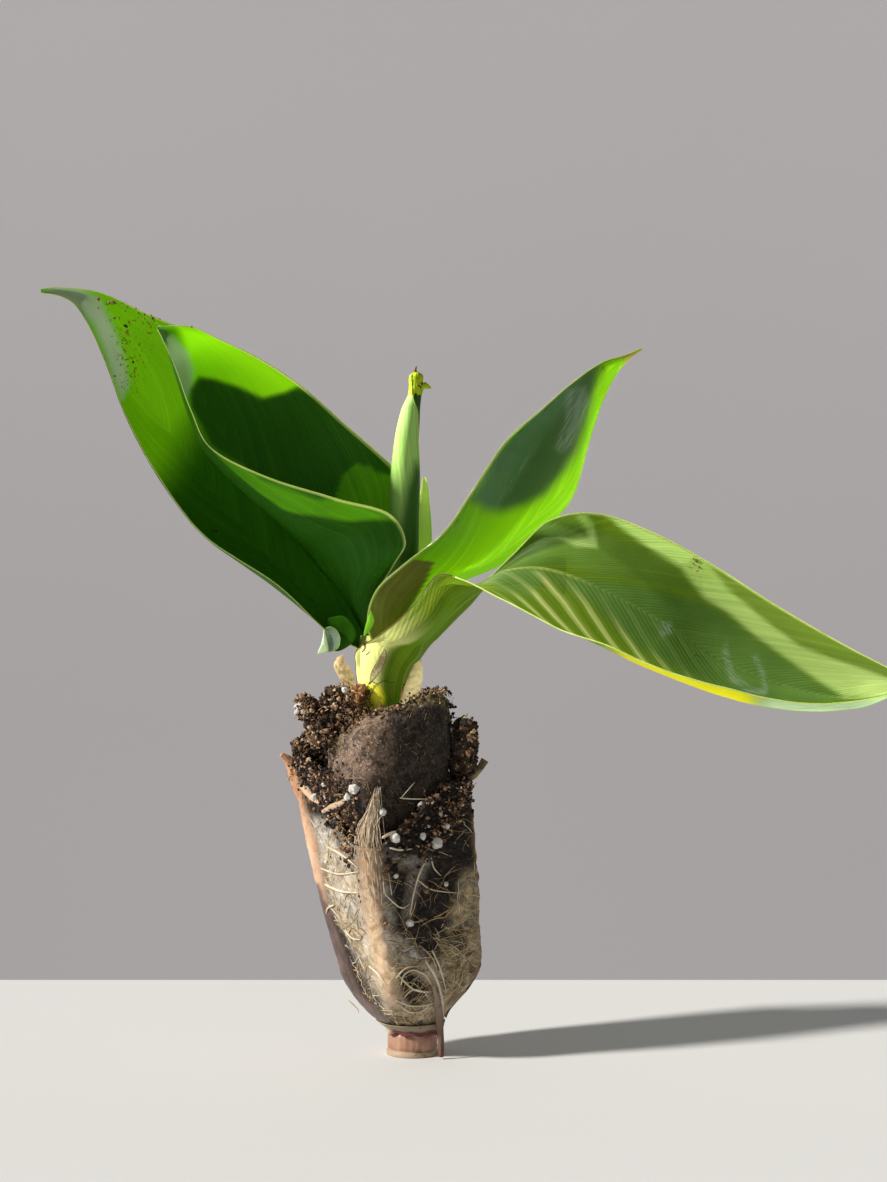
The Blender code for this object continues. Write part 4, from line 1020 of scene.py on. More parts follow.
def make_spear(looks):
    grid, places = oval_grid(SPEAR_SECTIONS, 120, 72, SPEAR_OVERLAP, fold_of)
    rows, columns = grid.shape[:2]
    ripple = noise_at(grid.reshape(-1, 3), 0.12, 1, 5.0).reshape(rows, columns)
    grid += normals_of(grid) * (0.15 * ripple)[..., None]
    # painted shade: the crevice right of the fold and the lower right side of the rolled leaf turn dark
    dark = zone(grid, [(411, 392), (418, 412), (420, 447), (424, 474), (432, 474), (428, 411), (426, 388)], 1.5)
    dark = np.maximum(dark, 0.95 * zone(grid, [(425, 470), (424, 500), (420, 560), (396, 570), (400, 525), (406, 490), (415, 462)], 7.0))
    shaded = {"marks": np.stack([dark, 0 * dark, 0 * dark], -1)}
    body = make_piece("spear_roll", grid, grid_faces(rows, columns), [looks["spear"]], places, shaded)
    wear_piece(body, ("leaf_spear",))
    edge = Heap()
    add_tube(edge, grid[4:-10, -1], 0.13, 6)
    wear_piece(edge.piece("spear_edge", [looks["rim"]]))
    rng = np.random.default_rng(11)
    cap = Heap()
    top = grid[-11:]
    centre = top.mean(1, keepdims=True)
    swollen = 1.10 + 0.10 * noise_at(top.reshape(-1, 3), 0.9, 2, 2.0).reshape(top.shape[:2])
    swollen[:3] *= np.array([[0.88], [0.95], [1.0]])
    crumple = centre + (top - centre) * swollen[..., None] + 0.03 * rng.normal(size=top.shape)
    cap.add(crumple, grid_faces(11, columns))
    cap.add(np.concatenate([crumple[-1], centre[-1] + (0, 0, 0.7)]), [(i, i + 1, columns) for i in range(columns - 1)])
    beak = [(1.8, -1.2, 186.4), (3.0, -1.6, 186.9), (3.9, -1.8, 186.3), (4.6, -1.9, 186.0)]
    add_tube(cap, beak, [1.1, 0.9, 0.6, 0.15], 7, 0)
    bristle = [(0.2, -1.3, 190.0), (0.1, -1.3, 191.2), (0.4, -1.2, 192.2)]
    add_tube(cap, bristle, [0.6, 0.4, 0.15], 6, 1)
    ball = ball_shape(1)
    for place in ((1.1, -2.8, 186.6), (1.6, -2.6, 186.2), (0.9, -2.7, 188.6), (2.0, -2.3, 187.1)):
        add_crumb(cap, ball, place, 0.38, rng, 1)
    wear_piece(cap.piece("spear_cap", [looks["cap"], looks["brown"]]))
    bud, bud_places = oval_grid(BUD_SECTIONS, 50, 28, 0.08, 2.4)
    piece = make_piece("bud_roll", bud, grid_faces(*bud.shape[:2]), [looks["bud"]], bud_places)
    wear_piece(piece, ("leaf_bud",))


def make_stem(looks):
    grid, places = oval_grid(STEM_SECTIONS, 60, 72)
    piece = make_piece("stem_core", grid, grid_faces(*grid.shape[:2]), [looks["stem"]], places)
    wear_piece(piece, ("stem",))
    for name, stations, side in (("dry_right", DRY_RIGHT, -1), ("dry_left", DRY_LEFT, 1)):
        sheet, marks, _ = leaf_points(stations, side, 1.0, 40, 12)
        crinkle = noise_at(sheet.reshape(-1, 3), 0.8, 2, 2.0).reshape(sheet.shape[:2])
        sheet += normals_of(sheet) * (0.25 * crinkle)[..., None]
        marks[..., 0] *= 8
        item = make_piece(name + "_scale", sheet, grid_faces(*sheet.shape[:2]), [looks["dry" if side < 0 else "dry_pink"]], marks)
        wear_piece(item, ("dry_sheath_right" if side < 0 else "dry_sheath_left",))


def on_stem(px, py, lift=0.35):
    """Point on the front of the stem that shows at a pixel."""
    knots = [section.height for section in STEM_SECTIONS]
    depth = -6.0
    for _ in range(6):
        point = from_photo(px, py, depth)
        height = min(max(point.z, knots[0]), knots[-1])
        centre, wide, deep = (smooth_value(knots, [getattr(section, field) for section in STEM_SECTIONS], height)
                              for field in ("centre", "half_width", "half_depth"))
        part = min(abs(point.x - centre) / (wide + 0.6), 0.98)
        depth = -(deep + 0.6) * math.sqrt(1 - part * part) - lift
    return np.array(from_photo(px, py, depth))


def make_patch(name, outline, place_at, dish, look, rim=None, wave=0.0):
    """Small dished sheet inside a smooth closed line of points."""
    edge = np.array([place_at(px, py) for px, py in outline])
    knots = list(range(len(edge) + 1))
    closed = [Vector(point) for point in np.concatenate([edge, edge[:1]])]
    ring = np.array([smooth_value(knots, closed, at)[:] for at in np.linspace(0, len(edge), 48, endpoint=False)])
    centre = ring.mean(0)
    grid = []
    for share in np.linspace(1, 0.02, 9):
        line = centre + (ring - centre) * share
        line[:, 1] += dish * (1 - share**2)
        line[:, 1] += wave * noise_at(line, 0.6, 2, 3.0)
        grid.append(line)
    item = make_piece(name, np.array(grid), grid_faces(9, 48, closed=True), [look])
    solid_sheet(item, 0.15)
    wear_piece(item)
    if rim:
        heap = Heap()
        add_tube(heap, np.concatenate([grid[0], grid[0][:1]]), 0.10, 6)
        wear_piece(heap.piece(name + "_rim", [rim]))


def make_stem_scraps(looks):
    """Auricle of the outer leaf with painted shade and a painted sunlit strip, a painted lit sliver of the upper right
    leaf, the torn bract and brown edges on the stem.
    """
    patches = (
        # the flap and the disc are painted shade, the edge strip is painted sunlight, and the margin a painted lit
        # sliver of the upper right leaf
        ("auricle_flap", ((328, 618), (325, 630), (326, 648), (334, 651), (342, 650), (354, 641), (356, 628), (344, 616)),
         -5.4, -0.3, "flap", "leaf", None),
        ("auricle_disc", ((325, 628), (331, 627), (337, 631), (340, 638), (339, 646), (335, 650), (328, 651), (325, 641)),
         -6.6, 0.3, "auricle", "leaf", "rim"),
        ("auricle_edge", ((324, 629), (327, 640), (328, 651), (318, 654), (321, 645), (323, 637)), -7.0, -0.3, "mint", "leaf", None),
        ("bright_margin", ((371, 610), (374, 620), (371, 629), (364, 636), (366, 624)), -11.0, -0.2, "bright", "leaf", None),
    )
    for name, outline, depth, dish, look, slot, rim in patches:
        make_patch(name, outline, lambda px, py: from_photo(px, py, depth), dish, looks[look], looks[rim] if rim else None)
    bract = ((370, 684), (371, 674), (377, 662), (385, 650), (386, 658), (382, 668), (376, 677))
    make_patch("bract", bract, lambda px, py: on_stem(px, py, 2.2), -0.15, looks["bract"], looks["brown"], 0.15)
    marks = Heap()
    lines = (
        (((360, 690), (364, 684), (367, 687), (371, 681), (377, 684), (384, 681), (391, 683), (395, 682)), 0.13),
        (((362, 652), (365, 648), (364, 644), (367, 641)), 0.20),
        (((366, 655), (370, 651), (369, 647)), 0.12),
        (((404, 684), (402, 692), (400, 700)), 0.16),
        (((392, 686), (391, 693), (393, 699)), 0.10),
        (((372, 692), (369, 700), (374, 708)), 0.16),
    )
    for line, radius in lines:
        knots = [Vector(on_stem(px, py, 1.0)) for px, py in line]
        path = [smooth_value(list(range(len(knots))), knots, at)[:] for at in np.linspace(0, len(knots) - 1, 5 * len(knots))]
        swing = radius * (1 + 0.6 * np.sin(np.arange(len(path)) * 2.3))
        add_tube(marks, path, swing, 6)
    wear_piece(marks.piece("stem_cracks", [looks["brown"]]))
    rng = np.random.default_rng(17)
    scraps = Heap()
    ball = ball_shape(2)
    for _ in range(46):
        px, py = rng.normal(359, 4), rng.normal(698, 6)
        flake = rng.uniform(0.5, 1.2)
        add_crumb(scraps, ball, from_photo(px, py, rng.uniform(-7.5, -4.5)), flake, rng, int(rng.uniform() < 0.4))
    wear_piece(scraps.piece("stem_remains", [looks["amber"], looks["brown"]], smooth=False))


def make_leaf_dirt(grids, looks):
    """Brown crumbs that lie on the leaves."""
    rng = np.random.default_rng(29)
    heap = Heap()
    ball = ball_shape(1)
    spots = (
        ("outer_left", 120, 304, 10, 3, 16), ("outer_left", 152, 318, 5, 3, 14), ("outer_left", 126, 338, 9, 14, 18),
        ("outer_left", 128, 378, 8, 10, 14), ("outer_left", 122, 362, 3, 8, 6), ("outer_left", 176, 474, 1, 1, 1),
        ("outer_left", 213, 533, 4, 3, 3), ("upper_right", 458, 522, 2, 2, 5),
        ("upper_right", 602, 368, 1, 2, 2), ("inner_left", 190, 327, 3, 1, 2), ("far_right", 696, 570, 3, 6, 4),
        ("far_right", 694, 650, 1, 1, 1),
    )
    for name, px, py, wide, high, count in spots:
        for _ in range(count):
            row, column = nearest_on(grids[name], rng.normal(px, wide), rng.normal(py, high))
            place = grids[name][row, column] + np.array([0.0, -0.25, 0.1])
            add_crumb(heap, ball, place, min(rng.lognormal(-1.45, 0.50), 0.75), rng, int(rng.uniform() < 0.7))
    wear_piece(heap.piece("leaf_crumbs", [looks["crumb_dark"], looks["crumb_brown"]], smooth=False))


# ---- root ball
def table_of(sections):
    knots = [section.height for section in sections]
    heights = np.linspace(knots[0], knots[-1], 240)
    values = []
    for field in ("centre", "side", "squareness"):
        column = [getattr(section, field) for section in sections]
        values.append([smooth_value(knots, column, height) for height in heights])
    return heights, values


CELL = table_of(CELL_SECTIONS)
PLUG = table_of(PLUG_SECTIONS)


def on_cell(table, angle, height, inset=0.0):
    """Points on a rounded square, at angles counted from the middle of its right face."""
    heights, (centres, sides, powers) = table
    angle, height, inset = np.broadcast_arrays(np.asarray(angle, float), np.asarray(height, float), np.asarray(inset, float))
    power = np.interp(height, heights, powers)
    corner = (np.abs(np.cos(angle)) ** power + np.abs(np.sin(angle)) ** power) ** (-1 / power)
    radius = np.interp(height, heights, sides) / 2 * corner - inset
    x = np.interp(height, heights, centres) + radius * np.cos(angle + CELL_TURN)
    return np.stack([x, radius * np.sin(angle + CELL_TURN), height], -1)


def torn_height(corners, angle, tear):
    place = (angle / (math.pi / 2) + 0.5) % 4
    first = int(place)
    share = place - first
    share = share * share * (3 - 2 * share)
    level = corners[first] * (1 - share) + corners[(first + 1) % 4] * share
    ragged = noise.noise(Vector((math.cos(angle), math.sin(angle), 0.3)) * 4.0)
    return level + tear * ragged


NEAR_CORNER, LEFT_CORNER, RIGHT_CORNER, FAR_CORNER = (math.radians(a) for a in (225, 135, 315, 45))


def angle_gap(angle, centre):
    return np.abs((angle - centre + math.pi) % TAU - math.pi)


FRONT_HAZE = (
    (1.0, 7.0, [(314, 818), (332, 822), (352, 832), (358, 850), (358, 880), (366, 925), (372, 958), (360, 960),
                (346, 930), (330, 895), (320, 860)]),
    (0.60, 7.0, [(372, 960), (388, 985), (400, 1015), (386, 1020), (368, 985), (356, 955)]),
    (0.85, 6.0, [(384, 928), (404, 938), (424, 955), (442, 975), (440, 990), (420, 980), (400, 962), (383, 948)]),
    (0.55, 6.0, [(380, 838), (392, 850), (408, 856), (430, 858), (428, 866), (404, 868), (388, 870), (384, 905)]),
    (0.50, 5.0, [(408, 880), (416, 862), (426, 856), (424, 876), (414, 900), (408, 925), (403, 922)]),
    (0.40, 8.0, [(398, 990), (440, 985), (450, 1010), (430, 1022), (404, 1018)]),
    (0.55, 6.0, [(378, 860), (386, 862), (392, 900), (396, 935), (388, 936), (382, 905)]),
)
FRONT_TAN = (
    (0.95, 8.0, [(330, 905), (352, 935), (372, 965), (388, 1005), (398, 1024), (430, 1024), (446, 1010), (470, 985),
                 (478, 940), (478, 870), (464, 872), (454, 905), (448, 938), (436, 962), (424, 965), (408, 960), (396, 965),
                 (388, 945), (372, 930), (345, 910)]),
    (0.35, 8.0, [(318, 830), (356, 836), (372, 930), (345, 930)]),
)
DARK_POCKETS = (
    (1.0, 5.0, [(398, 970), (414, 972), (430, 984), (428, 1000), (412, 1008), (400, 996)]),
    (0.8, 5.0, [(366, 985), (378, 992), (388, 1014), (380, 1016)]),
    (0.8, 4.0, [(452, 930), (462, 925), (468, 945), (456, 962)]),
    (0.7, 4.0, [(455, 985), (466, 975), (462, 995), (450, 1005)]),
)
FRONT_ORANGE = (
    (1.0, 5.0, [(280, 750), (298, 778), (304, 800), (315, 835), (322, 868), (328, 900), (316, 905), (300, 840), (286, 790)]),
)
# painted shade: the plum brown film low on the left front
FRONT_PLUM = (
    (1.0, 3.0, [(300, 880), (321, 884), (332, 915), (346, 948), (356, 980), (362, 994), (380, 1010), (394, 1026),
                (384, 1040), (330, 1000), (318, 945)]),
)
FRONT_PALE = (
    (0.95, 8.0, [(356, 834), (381, 834), (381, 860), (381, 885), (385, 918), (390, 950), (397, 985), (400, 1008),
                 (388, 1008), (380, 985), (371, 953), (364, 914), (359, 875)]),
    (0.45, 4.0, [(474, 790), (480, 850), (484, 900), (486, 985), (474, 990), (474, 940), (476, 880), (472, 820)]),
    (0.50, 5.0, [(476, 982), (468, 998), (452, 1020), (446, 1034), (430, 1034), (436, 1014), (452, 994)]),
)


def painted(grid, outlines, front):
    """Strongest of some outlines, on the front of the root ball."""
    out = np.zeros(grid.shape[:-1])
    for weight, soft, outline in outlines:
        out = np.maximum(out, zone(grid, outline, soft) * weight)
    return out * front


def mat_fields(angle, height, brim):
    """Depth below the film, and the marks of the outside of the root ball."""
    smooth = on_cell(CELL, angle, height, 0.9)
    flat = smooth.reshape(-1, 3)
    lumps = noise_at(flat, 0.22, 3, 1.0).reshape(height.shape)
    crumbs = noise_at(flat, 0.75, 3, 7.0).reshape(height.shape)
    front = ease((angle - LEFT_CORNER + 0.22) / 0.12) * ease((RIGHT_CORNER + 0.16 - angle) / 0.12)
    loose = ease((height - (brim - 13)) / 8)
    back_tan = ease((70 - height + 10 * lumps) / 16)
    back_haze = 0.7 * ease((62 - height + 8 * crumbs) / 20) * ease(0.5 + 1.6 * lumps)
    tan = painted(smooth, FRONT_TAN, front) + (1 - front) * back_tan
    haze = painted(smooth, FRONT_HAZE, front) + (1 - front) * back_haze
    open_soil = 1 - painted(smooth, DARK_POCKETS, front)
    tan, haze = tan * open_soil, haze * open_soil
    side_edge = ease(1.6 - angle_gap(angle, FAR_CORNER) / 0.09) * ease((66 - height) / 6)
    left_edge = ease(1.5 - angle_gap(angle, LEFT_CORNER - 0.2) / 0.16) * (1 - front)
    right_edge = ease(1.5 - angle_gap(angle, RIGHT_CORNER + 0.2) / 0.16) * (1 - front)
    # painted shade: the left corner's film turns plum brown low down; above that it keeps the orange of lit film
    low = ease((44 - height + 6 * lumps) / 6)
    orange = painted(smooth, FRONT_ORANGE, front) + left_edge * (1 - low)
    plum = painted(smooth, FRONT_PLUM, front) + left_edge * low
    pale = painted(smooth, FRONT_PALE, front) + np.maximum(side_edge, right_edge * ease((78 - height) / 6))
    film = np.clip(orange + plum + pale, 0, 1)
    tan, haze = tan * (1 - loose), haze * (1 - loose * 0.6)
    inset = 0.95 + 0.55 * lumps * (1 - 0.6 * haze) + (0.35 + 0.55 * loose) * crumbs * (1 - 0.7 * haze)
    inset = np.clip(inset - 0.25 * haze - 0.1 * tan, 0.3, 3.0) * (1 - film) + (0.45 + 0.16 * lumps + 0.10 * crumbs) * film
    marks = np.stack([tan, haze, film], -1)
    return inset, marks, np.stack([orange, plum, pale], -1).clip(0, 1)


def make_root_ball(looks):
    rows, columns = 210, 340
    angles = np.linspace(0, TAU, columns, endpoint=False)
    brims = np.array([torn_height(SOIL_BRIM, angle, 2.0) for angle in angles])
    share = np.linspace(0, 1, rows)[:, None]
    height = 7.2 + (brims[None, :] - 7.2) * share
    angle = np.broadcast_to(angles[None, :], height.shape)
    inset, marks, tint = mat_fields(angle, height, brims[None, :])
    grid = on_cell(CELL, angle, height, inset)
    # the crumbled brim rolls over to the socket round the plug
    rim_rows = []
    outer = on_cell(CELL, angles, brims, inset[-1])
    plug = on_cell(PLUG, angles, np.maximum(brims, 59.0), -0.2)
    for step in range(1, 11):
        mid = outer + (plug - outer) * (step / 10)
        lump = noise_at(mid, 0.30, 3, 4.0) + 0.6 * noise_at(mid, 0.9, 2, 1.0)
        mid[:, 2] = brims - 0.35 * step + 1.3 * lump * min(1.0, step / 2)
        rim_rows.append(mid)
    grid = np.concatenate([grid, np.array(rim_rows)])
    blank = np.zeros((10, columns, 3))
    zones = {"marks": np.concatenate([marks, blank]), "tint": np.concatenate([tint, blank])}
    piece = make_piece("root_mat", grid, grid_faces(grid.shape[0], columns, closed=True), [looks["mat"]], marks=zones)
    wear_piece(piece, ("root_ball",))
    return brims


def make_roots(looks, brims):
    """Fine roots that run round the outside of the compost, half sunk in it."""
    rng = np.random.default_rng(5)
    heaps = (Heap(), Heap())
    for index in range(1100):
        angle = rng.uniform(0, TAU)
        front_right = NEAR_CORNER < angle < RIGHT_CORNER
        top = brims[int(angle / TAU * len(brims)) % len(brims)]
        height = 8 + (min(top, 66) - 8) * rng.beta(1.0, 1.4)
        if front_right and height > 38 and rng.uniform() < 0.80:
            continue
        steps = int(rng.uniform(14, 46))
        heading = rng.choice((0.0, math.pi)) + rng.normal(0, 0.55)
        bend = rng.normal(0, 0.03)
        radius = rng.choice((0.07, 0.10, 0.15, 0.22), p=(0.42, 0.34, 0.18, 0.06))
        path = []
        for _ in range(steps):
            path.append((angle, height))
            heading += bend + rng.normal(0, 0.12)
            bend = (bend + rng.normal(0, 0.012)) * 0.97
            angle += 0.7 * math.cos(heading) / 20.0
            height += 0.7 * math.sin(heading)
            if height < 8.2:
                height, heading = 8.2, abs(heading) * 0.5
            if height > top - 3:
                heading -= 0.5
        path = np.array(path)
        around = path[:, 0] % TAU
        brim = np.interp(around, np.linspace(0, TAU, len(brims)), brims)
        inset, _, tint = mat_fields(around, path[:, 1], brim)
        wobble = 0.16 * np.sin(np.linspace(0, 9 + rng.uniform(0, 4), len(path)) + rng.uniform(0, 6))
        points = on_cell(CELL, path[:, 0], path[:, 1], inset + wobble + radius * 0.3 + 0.5 * tint.max(1))
        taper = radius * np.interp(np.linspace(0, 1, len(path)), (0, 0.1, 0.6, 1), (0.5, 1, 0.8, 0.25))
        add_tube(heaps[index % 2], points, taper, 5, int(rng.choice(3, p=(0.22, 0.56, 0.22))))
    clear_roots = (
        ([(390, 848), (400, 850), (412, 849)], 0.30), ([(400, 798), (412, 799), (428, 799)], 0.16),
        ([(428, 857), (420, 872), (414, 892), (410, 915)], 0.30), ([(386, 895), (394, 903), (402, 908), (410, 904)], 0.22),
        ([(418, 880), (430, 889), (446, 892), (460, 893)], 0.20), ([(431, 857), (434, 868), (441, 876)], 0.22),
        ([(382, 838), (389, 834), (396, 831)], 0.42), ([(402, 797), (408, 790), (415, 782)], 0.10),
        ([(324, 884), (340, 891), (358, 893)], 0.42), ([(320, 868), (338, 874), (358, 872)], 0.30),
        ([(326, 846), (342, 855), (358, 868)], 0.34), ([(334, 905), (328, 908), (326, 914)], 0.3),
        ([(345, 930), (352, 938), (360, 940)], 0.35), ([(369, 966), (378, 974), (386, 985)], 0.35),
        ([(425, 960), (436, 978), (442, 1000), (443, 1020)], 0.45), ([(432, 950), (440, 968), (446, 990)], 0.3),
        ([(396, 1000), (412, 1006), (430, 1004), (440, 998)], 0.28), ([(398, 975), (415, 990), (436, 992)], 0.25),
        ([(347, 1000), (352, 1004), (357, 1009), (359, 1013)], 0.30),
        ([(401, 985), (404, 975), (414, 970), (426, 976), (433, 988)], 0.26), ([(398, 1004), (410, 1012), (424, 1010), (434, 998)], 0.26),
        ([(404, 998), (412, 990), (424, 992), (430, 1002)], 0.18), ([(396, 978), (406, 968), (420, 966)], 0.22),
    )
    for places, radius in clear_roots:
        knots = [Vector(on_front(px, py)) for px, py in places]
        at = np.linspace(0, len(knots) - 1, 6 * len(knots))
        path = [smooth_value(list(range(len(knots))), knots, value)[:] for value in at]
        taper = radius * np.interp(np.linspace(0, 1, len(path)), (0, 0.15, 0.7, 1), (0.5, 1, 0.85, 0.3))
        add_tube(heaps[0], path, taper, 7, 0)
    web = Heap()
    for _ in range(75):
        lean, twist, foot = rng.normal(0, 0.9), rng.normal(0, 2.2), rng.uniform(0, 1) ** 2 * 70
        places = ((367 + 0.12 * foot + 8 * lean + twist, 850 + foot), (368 + 7 * lean, 836), (372 + 4 * lean + twist, 815),
                  (376 + 2 * lean, rng.uniform(786, 812)))
        knots = []
        for px, py in places:
            sunk = float(ease((858 - py) / 40))
            front, plug = on_front(px, py, CELL)[1], on_front(px, py, PLUG)[1]
            knots.append(from_photo(px, py, front + (plug - front) * sunk * 0.8 + rng.uniform(-1.0, 0.0)))
        path = [smooth_value([0, 1, 2, 3], knots, value)[:] for value in np.linspace(0, 3, 20)]
        sway = 0.25 * np.sin(np.linspace(0, 7, 20) + rng.uniform(0, 6))[:, None] * (1.0, 0.3, 0.3)
        add_tube(web, np.array(path) + sway, rng.uniform(0.05, 0.14) * np.linspace(0.8, 0.6, 20), 5)
    wear_piece(web.piece("web_roots", [looks["web"]]))
    materials = [looks["root_pale"], looks["root_tan"], looks["root_brown"]]
    wear_piece(heaps[0].piece("roots_a", materials))
    wear_piece(heaps[1].piece("roots_b", materials))


def film_patch(edge_low, edge_high, low, high, inset, rows=90, columns=14, wave=0.25, seed=0.0):
    """Sheet on the cell between two angles that change with height."""
    heights = np.linspace(0, 1, rows)
    grid = []
    for share in heights:
        height = low + (high - low) * share
        first, last = edge_low(height), edge_high(height)
        angles = np.linspace(first, last, columns)
        grid.append(on_cell(CELL, angles, np.full(columns, height), inset))
    grid = np.array(grid)
    ripple = noise_at(grid.reshape(-1, 3), 0.16, 2, seed).reshape(rows, columns)
    return grid + normals_of(grid) * (wave * ripple)[..., None]


def solid_sheet(item, thickness):
    solid = item.modifiers.new("thickness", "SOLIDIFY")
    solid.thickness = thickness * MM
    solid.offset = 0.0


def ragged(seed, size, scale=0.35):
    return lambda height: size * noise.noise(Vector((height * scale, seed, 0.0)))


def make_film(looks):
    """Torn sheets of film that stand free of the compost."""
    left_in, left_out = ragged(1.0, 0.05), ragged(2.0, 0.06)
    strips = (
        ("film_left", lambda z: LEFT_CORNER - 0.40 + left_out(z), lambda z: LEFT_CORNER - 0.12 + left_in(z), 9.5, 82.0, 0.0),
        ("film_right", lambda z: RIGHT_CORNER + 0.12 + ragged(5.0, 0.05)(z), lambda z: RIGHT_CORNER + 0.42 + ragged(6.0, 0.07)(z), 10.0, 75.0, 0.25),
        ("film_far", lambda z: FAR_CORNER - 0.30 + ragged(7.0, 0.10)(z), lambda z: FAR_CORNER + 0.30 + ragged(8.0, 0.10)(z), 9.0, 71.0, 0.3),
    )
    for index, (name, first, last, low, high, tan) in enumerate(strips):
        grid = film_patch(first, last, low, high, 0.10, seed=index * 3.0)
        rows, columns = grid.shape[:2]
        marks = np.zeros((rows, columns, 3))
        marks[..., 0] = tan
        item = make_piece(name, grid, grid_faces(rows, columns), [looks["film"]], marks={"marks": marks})
        solid_sheet(item, 0.16)
        wear_piece(item, ("film_liner",) if name == "film_left" else ())
    ribbons = (
        ("film_ear", [(281, 754), (289, 761), (295, 773), (299, 788), (303, 806)], (4.6, 5.5, 5.5, 4.5, 3.0), (0.6, 1.4, 2.0, 1.8, 0.5), 0.0, 0.0),
        ("film_scrap", [(300, 786), (306, 790), (312, 797), (319, 803)], (-0.6,) * 4, (0.4, 1.1, 0.9, 0.3), 0.9, 0.0),
        ("film_shred", [(322, 812), (332, 807), (341, 803), (346, 799)], (-0.5,) * 4, (0.4, 0.9, 0.7, 0.2), 0.9, 0.0),
    )
    for name, places, depths, widths, tan, red in ribbons:
        knots = []
        for (px, py), depth in zip(places, depths):
            knots.append(from_photo(px, py, depth) if depth > 1 else Vector(on_front(px, py)) + Vector((0, depth, 0)))
        grid = ribbon(knots, widths, 34, 7)
        marks = np.tile([tan, red, 0.0], (grid.shape[0] * grid.shape[1], 1))
        item = make_piece(name, grid, grid_faces(*grid.shape[:2]), [looks["film"]], marks={"marks": marks})
        solid_sheet(item, 0.16)
        wear_piece(item)
    make_hem(looks)


def ribbon(knots, widths, rows, columns, fold=0.35):
    """Narrow crumpled sheet along a line of points, as wide as it says at each of them."""
    last = len(knots) - 1
    grid = []
    for row in range(rows):
        at = row / (rows - 1) * last
        point = smooth_value(list(range(last + 1)), knots, at)
        ahead = smooth_value(list(range(last + 1)), knots, min(at + 0.05, last))
        forward = (ahead - smooth_value(list(range(last + 1)), knots, max(at - 0.05, 0))).normalized()
        side = forward.cross(Vector((0.0, -1.0, 0.0))).normalized()
        wide = float(np.interp(at, range(last + 1), widths))
        line = []
        for column in range(columns):
            place = 2 * column / (columns - 1) - 1
            crumple = fold * (abs(place) - 0.5) + 0.3 * noise.noise(point * 0.5 + side * (place * 1.5))
            line.append((point + side * (place * wide) + Vector((0.0, crumple, 0.0)))[:])
        grid.append(line)
    return np.array(grid)


def make_hem(looks):
    """Cut edge of the film round the top of the collar, and the strip that hangs from it."""
    columns, rows = 140, 18
    grid, marks = [], []
    for row in range(rows):
        share = row / (rows - 1)
        line, colours = [], []
        for angle in np.linspace(0, TAU, columns):
            dip = 1.3 * noise.noise(Vector((math.cos(angle) * 2.2, math.sin(angle) * 2.2, 4.0)))
            z = 9.4 + (6.4 + dip - 9.4) * share
            centre = float(np.interp(max(z, 7.2), CELL[0], CELL[1][0]))
            flare = on_cell(CELL, angle - CELL_TURN, max(z, 7.2), 0.10)
            way = (flare[:2] - (centre, 0.0)) / np.linalg.norm(flare[:2] - (centre, 0.0))
            reach = np.linalg.norm(flare[:2] - (centre, 0.0)) + 0.2 * share * math.sin(angle * 7)
            if z < 7.2:
                centre += (COLLAR_CENTRE - centre) * min(1.0, (7.2 - z) / 2)
            line.append((centre + way[0] * reach, way[1] * reach, z))
            # painted shade: the lower rows of the hem on the right turn dark red in the recess above the collar
            right = ease((math.cos(angle + 1.0) + 0.15) / 0.4)
            colours.append((1 - 0.45 * right, float(ease((share - 0.45) / 0.25) * right), 0.0))
        grid.append(line)
        marks.append(colours)
    item = make_piece("film_hem", grid, grid_faces(rows, columns, flip=True), [looks["film"]], marks={"marks": marks})
    solid_sheet(item, 0.16)
    wear_piece(item)
    places = [(433, 985), (437, 1000), (439, 1015), (440, 1030), (441, 1045), (441, 1057)]
    depths = (-14.2, -12.4, -10.0, -8.4, -8.1, -7.9)
    knots = [from_photo(px, py, depth) for (px, py), depth in zip(places, depths)]
    knots[-1].z = max(knots[-1].z, 0.2)
    grid = ribbon(knots, (0.3, 0.8, 1.1, 0.9, 0.8, 0.7), 46, 7, 0.8)
    grid[..., 2] = np.maximum(grid[..., 2], 0.15)
    fade = np.repeat(np.linspace(0, 1, grid.shape[0]), grid.shape[1])
    marks = {"marks": np.stack([0.9 - 0.7 * fade, 0.06 + 0.7 * fade, 0 * fade], -1)}
    item = make_piece("film_strip", grid, grid_faces(*grid.shape[:2]), [looks["film"]], marks=marks)
    solid_sheet(item, 0.2)
    wear_piece(item)


def make_collar(looks):
    """Turned collar with a groove over its rim and faint upright ribs."""
    profile = ((0.0, 6.85), (6.2, 6.85), (6.75, 6.6), (6.85, 5.0), (6.9, 3.0), (6.85, 2.0), (6.6, 1.75), (6.62, 1.55),
               (7.15, 1.35), (7.3, 1.0), (7.3, 0.3), (7.1, 0.0), (0.0, 0.0))
    columns = 144
    grid = []
    for radius, z in profile:
        line = []
        for column in range(columns):
            angle = TAU * column / columns
            rib = 0.05 * math.cos(angle * 24) if 2.0 <= z <= 6.6 else 0.0
            line.append((COLLAR_CENTRE + (radius + rib) * math.cos(angle), (radius + rib) * math.sin(angle), z))
        grid.append(line)
    item = make_piece("collar_turned", np.array(grid), grid_faces(len(profile), columns, closed=True, flip=True), [looks["collar"]])
    wear_piece(item, ("collar",))


def plug_top(point):
    return PLUG_TOP + (point[0] - PLUG_TOP_X) * PLUG_TOP_SLOPE


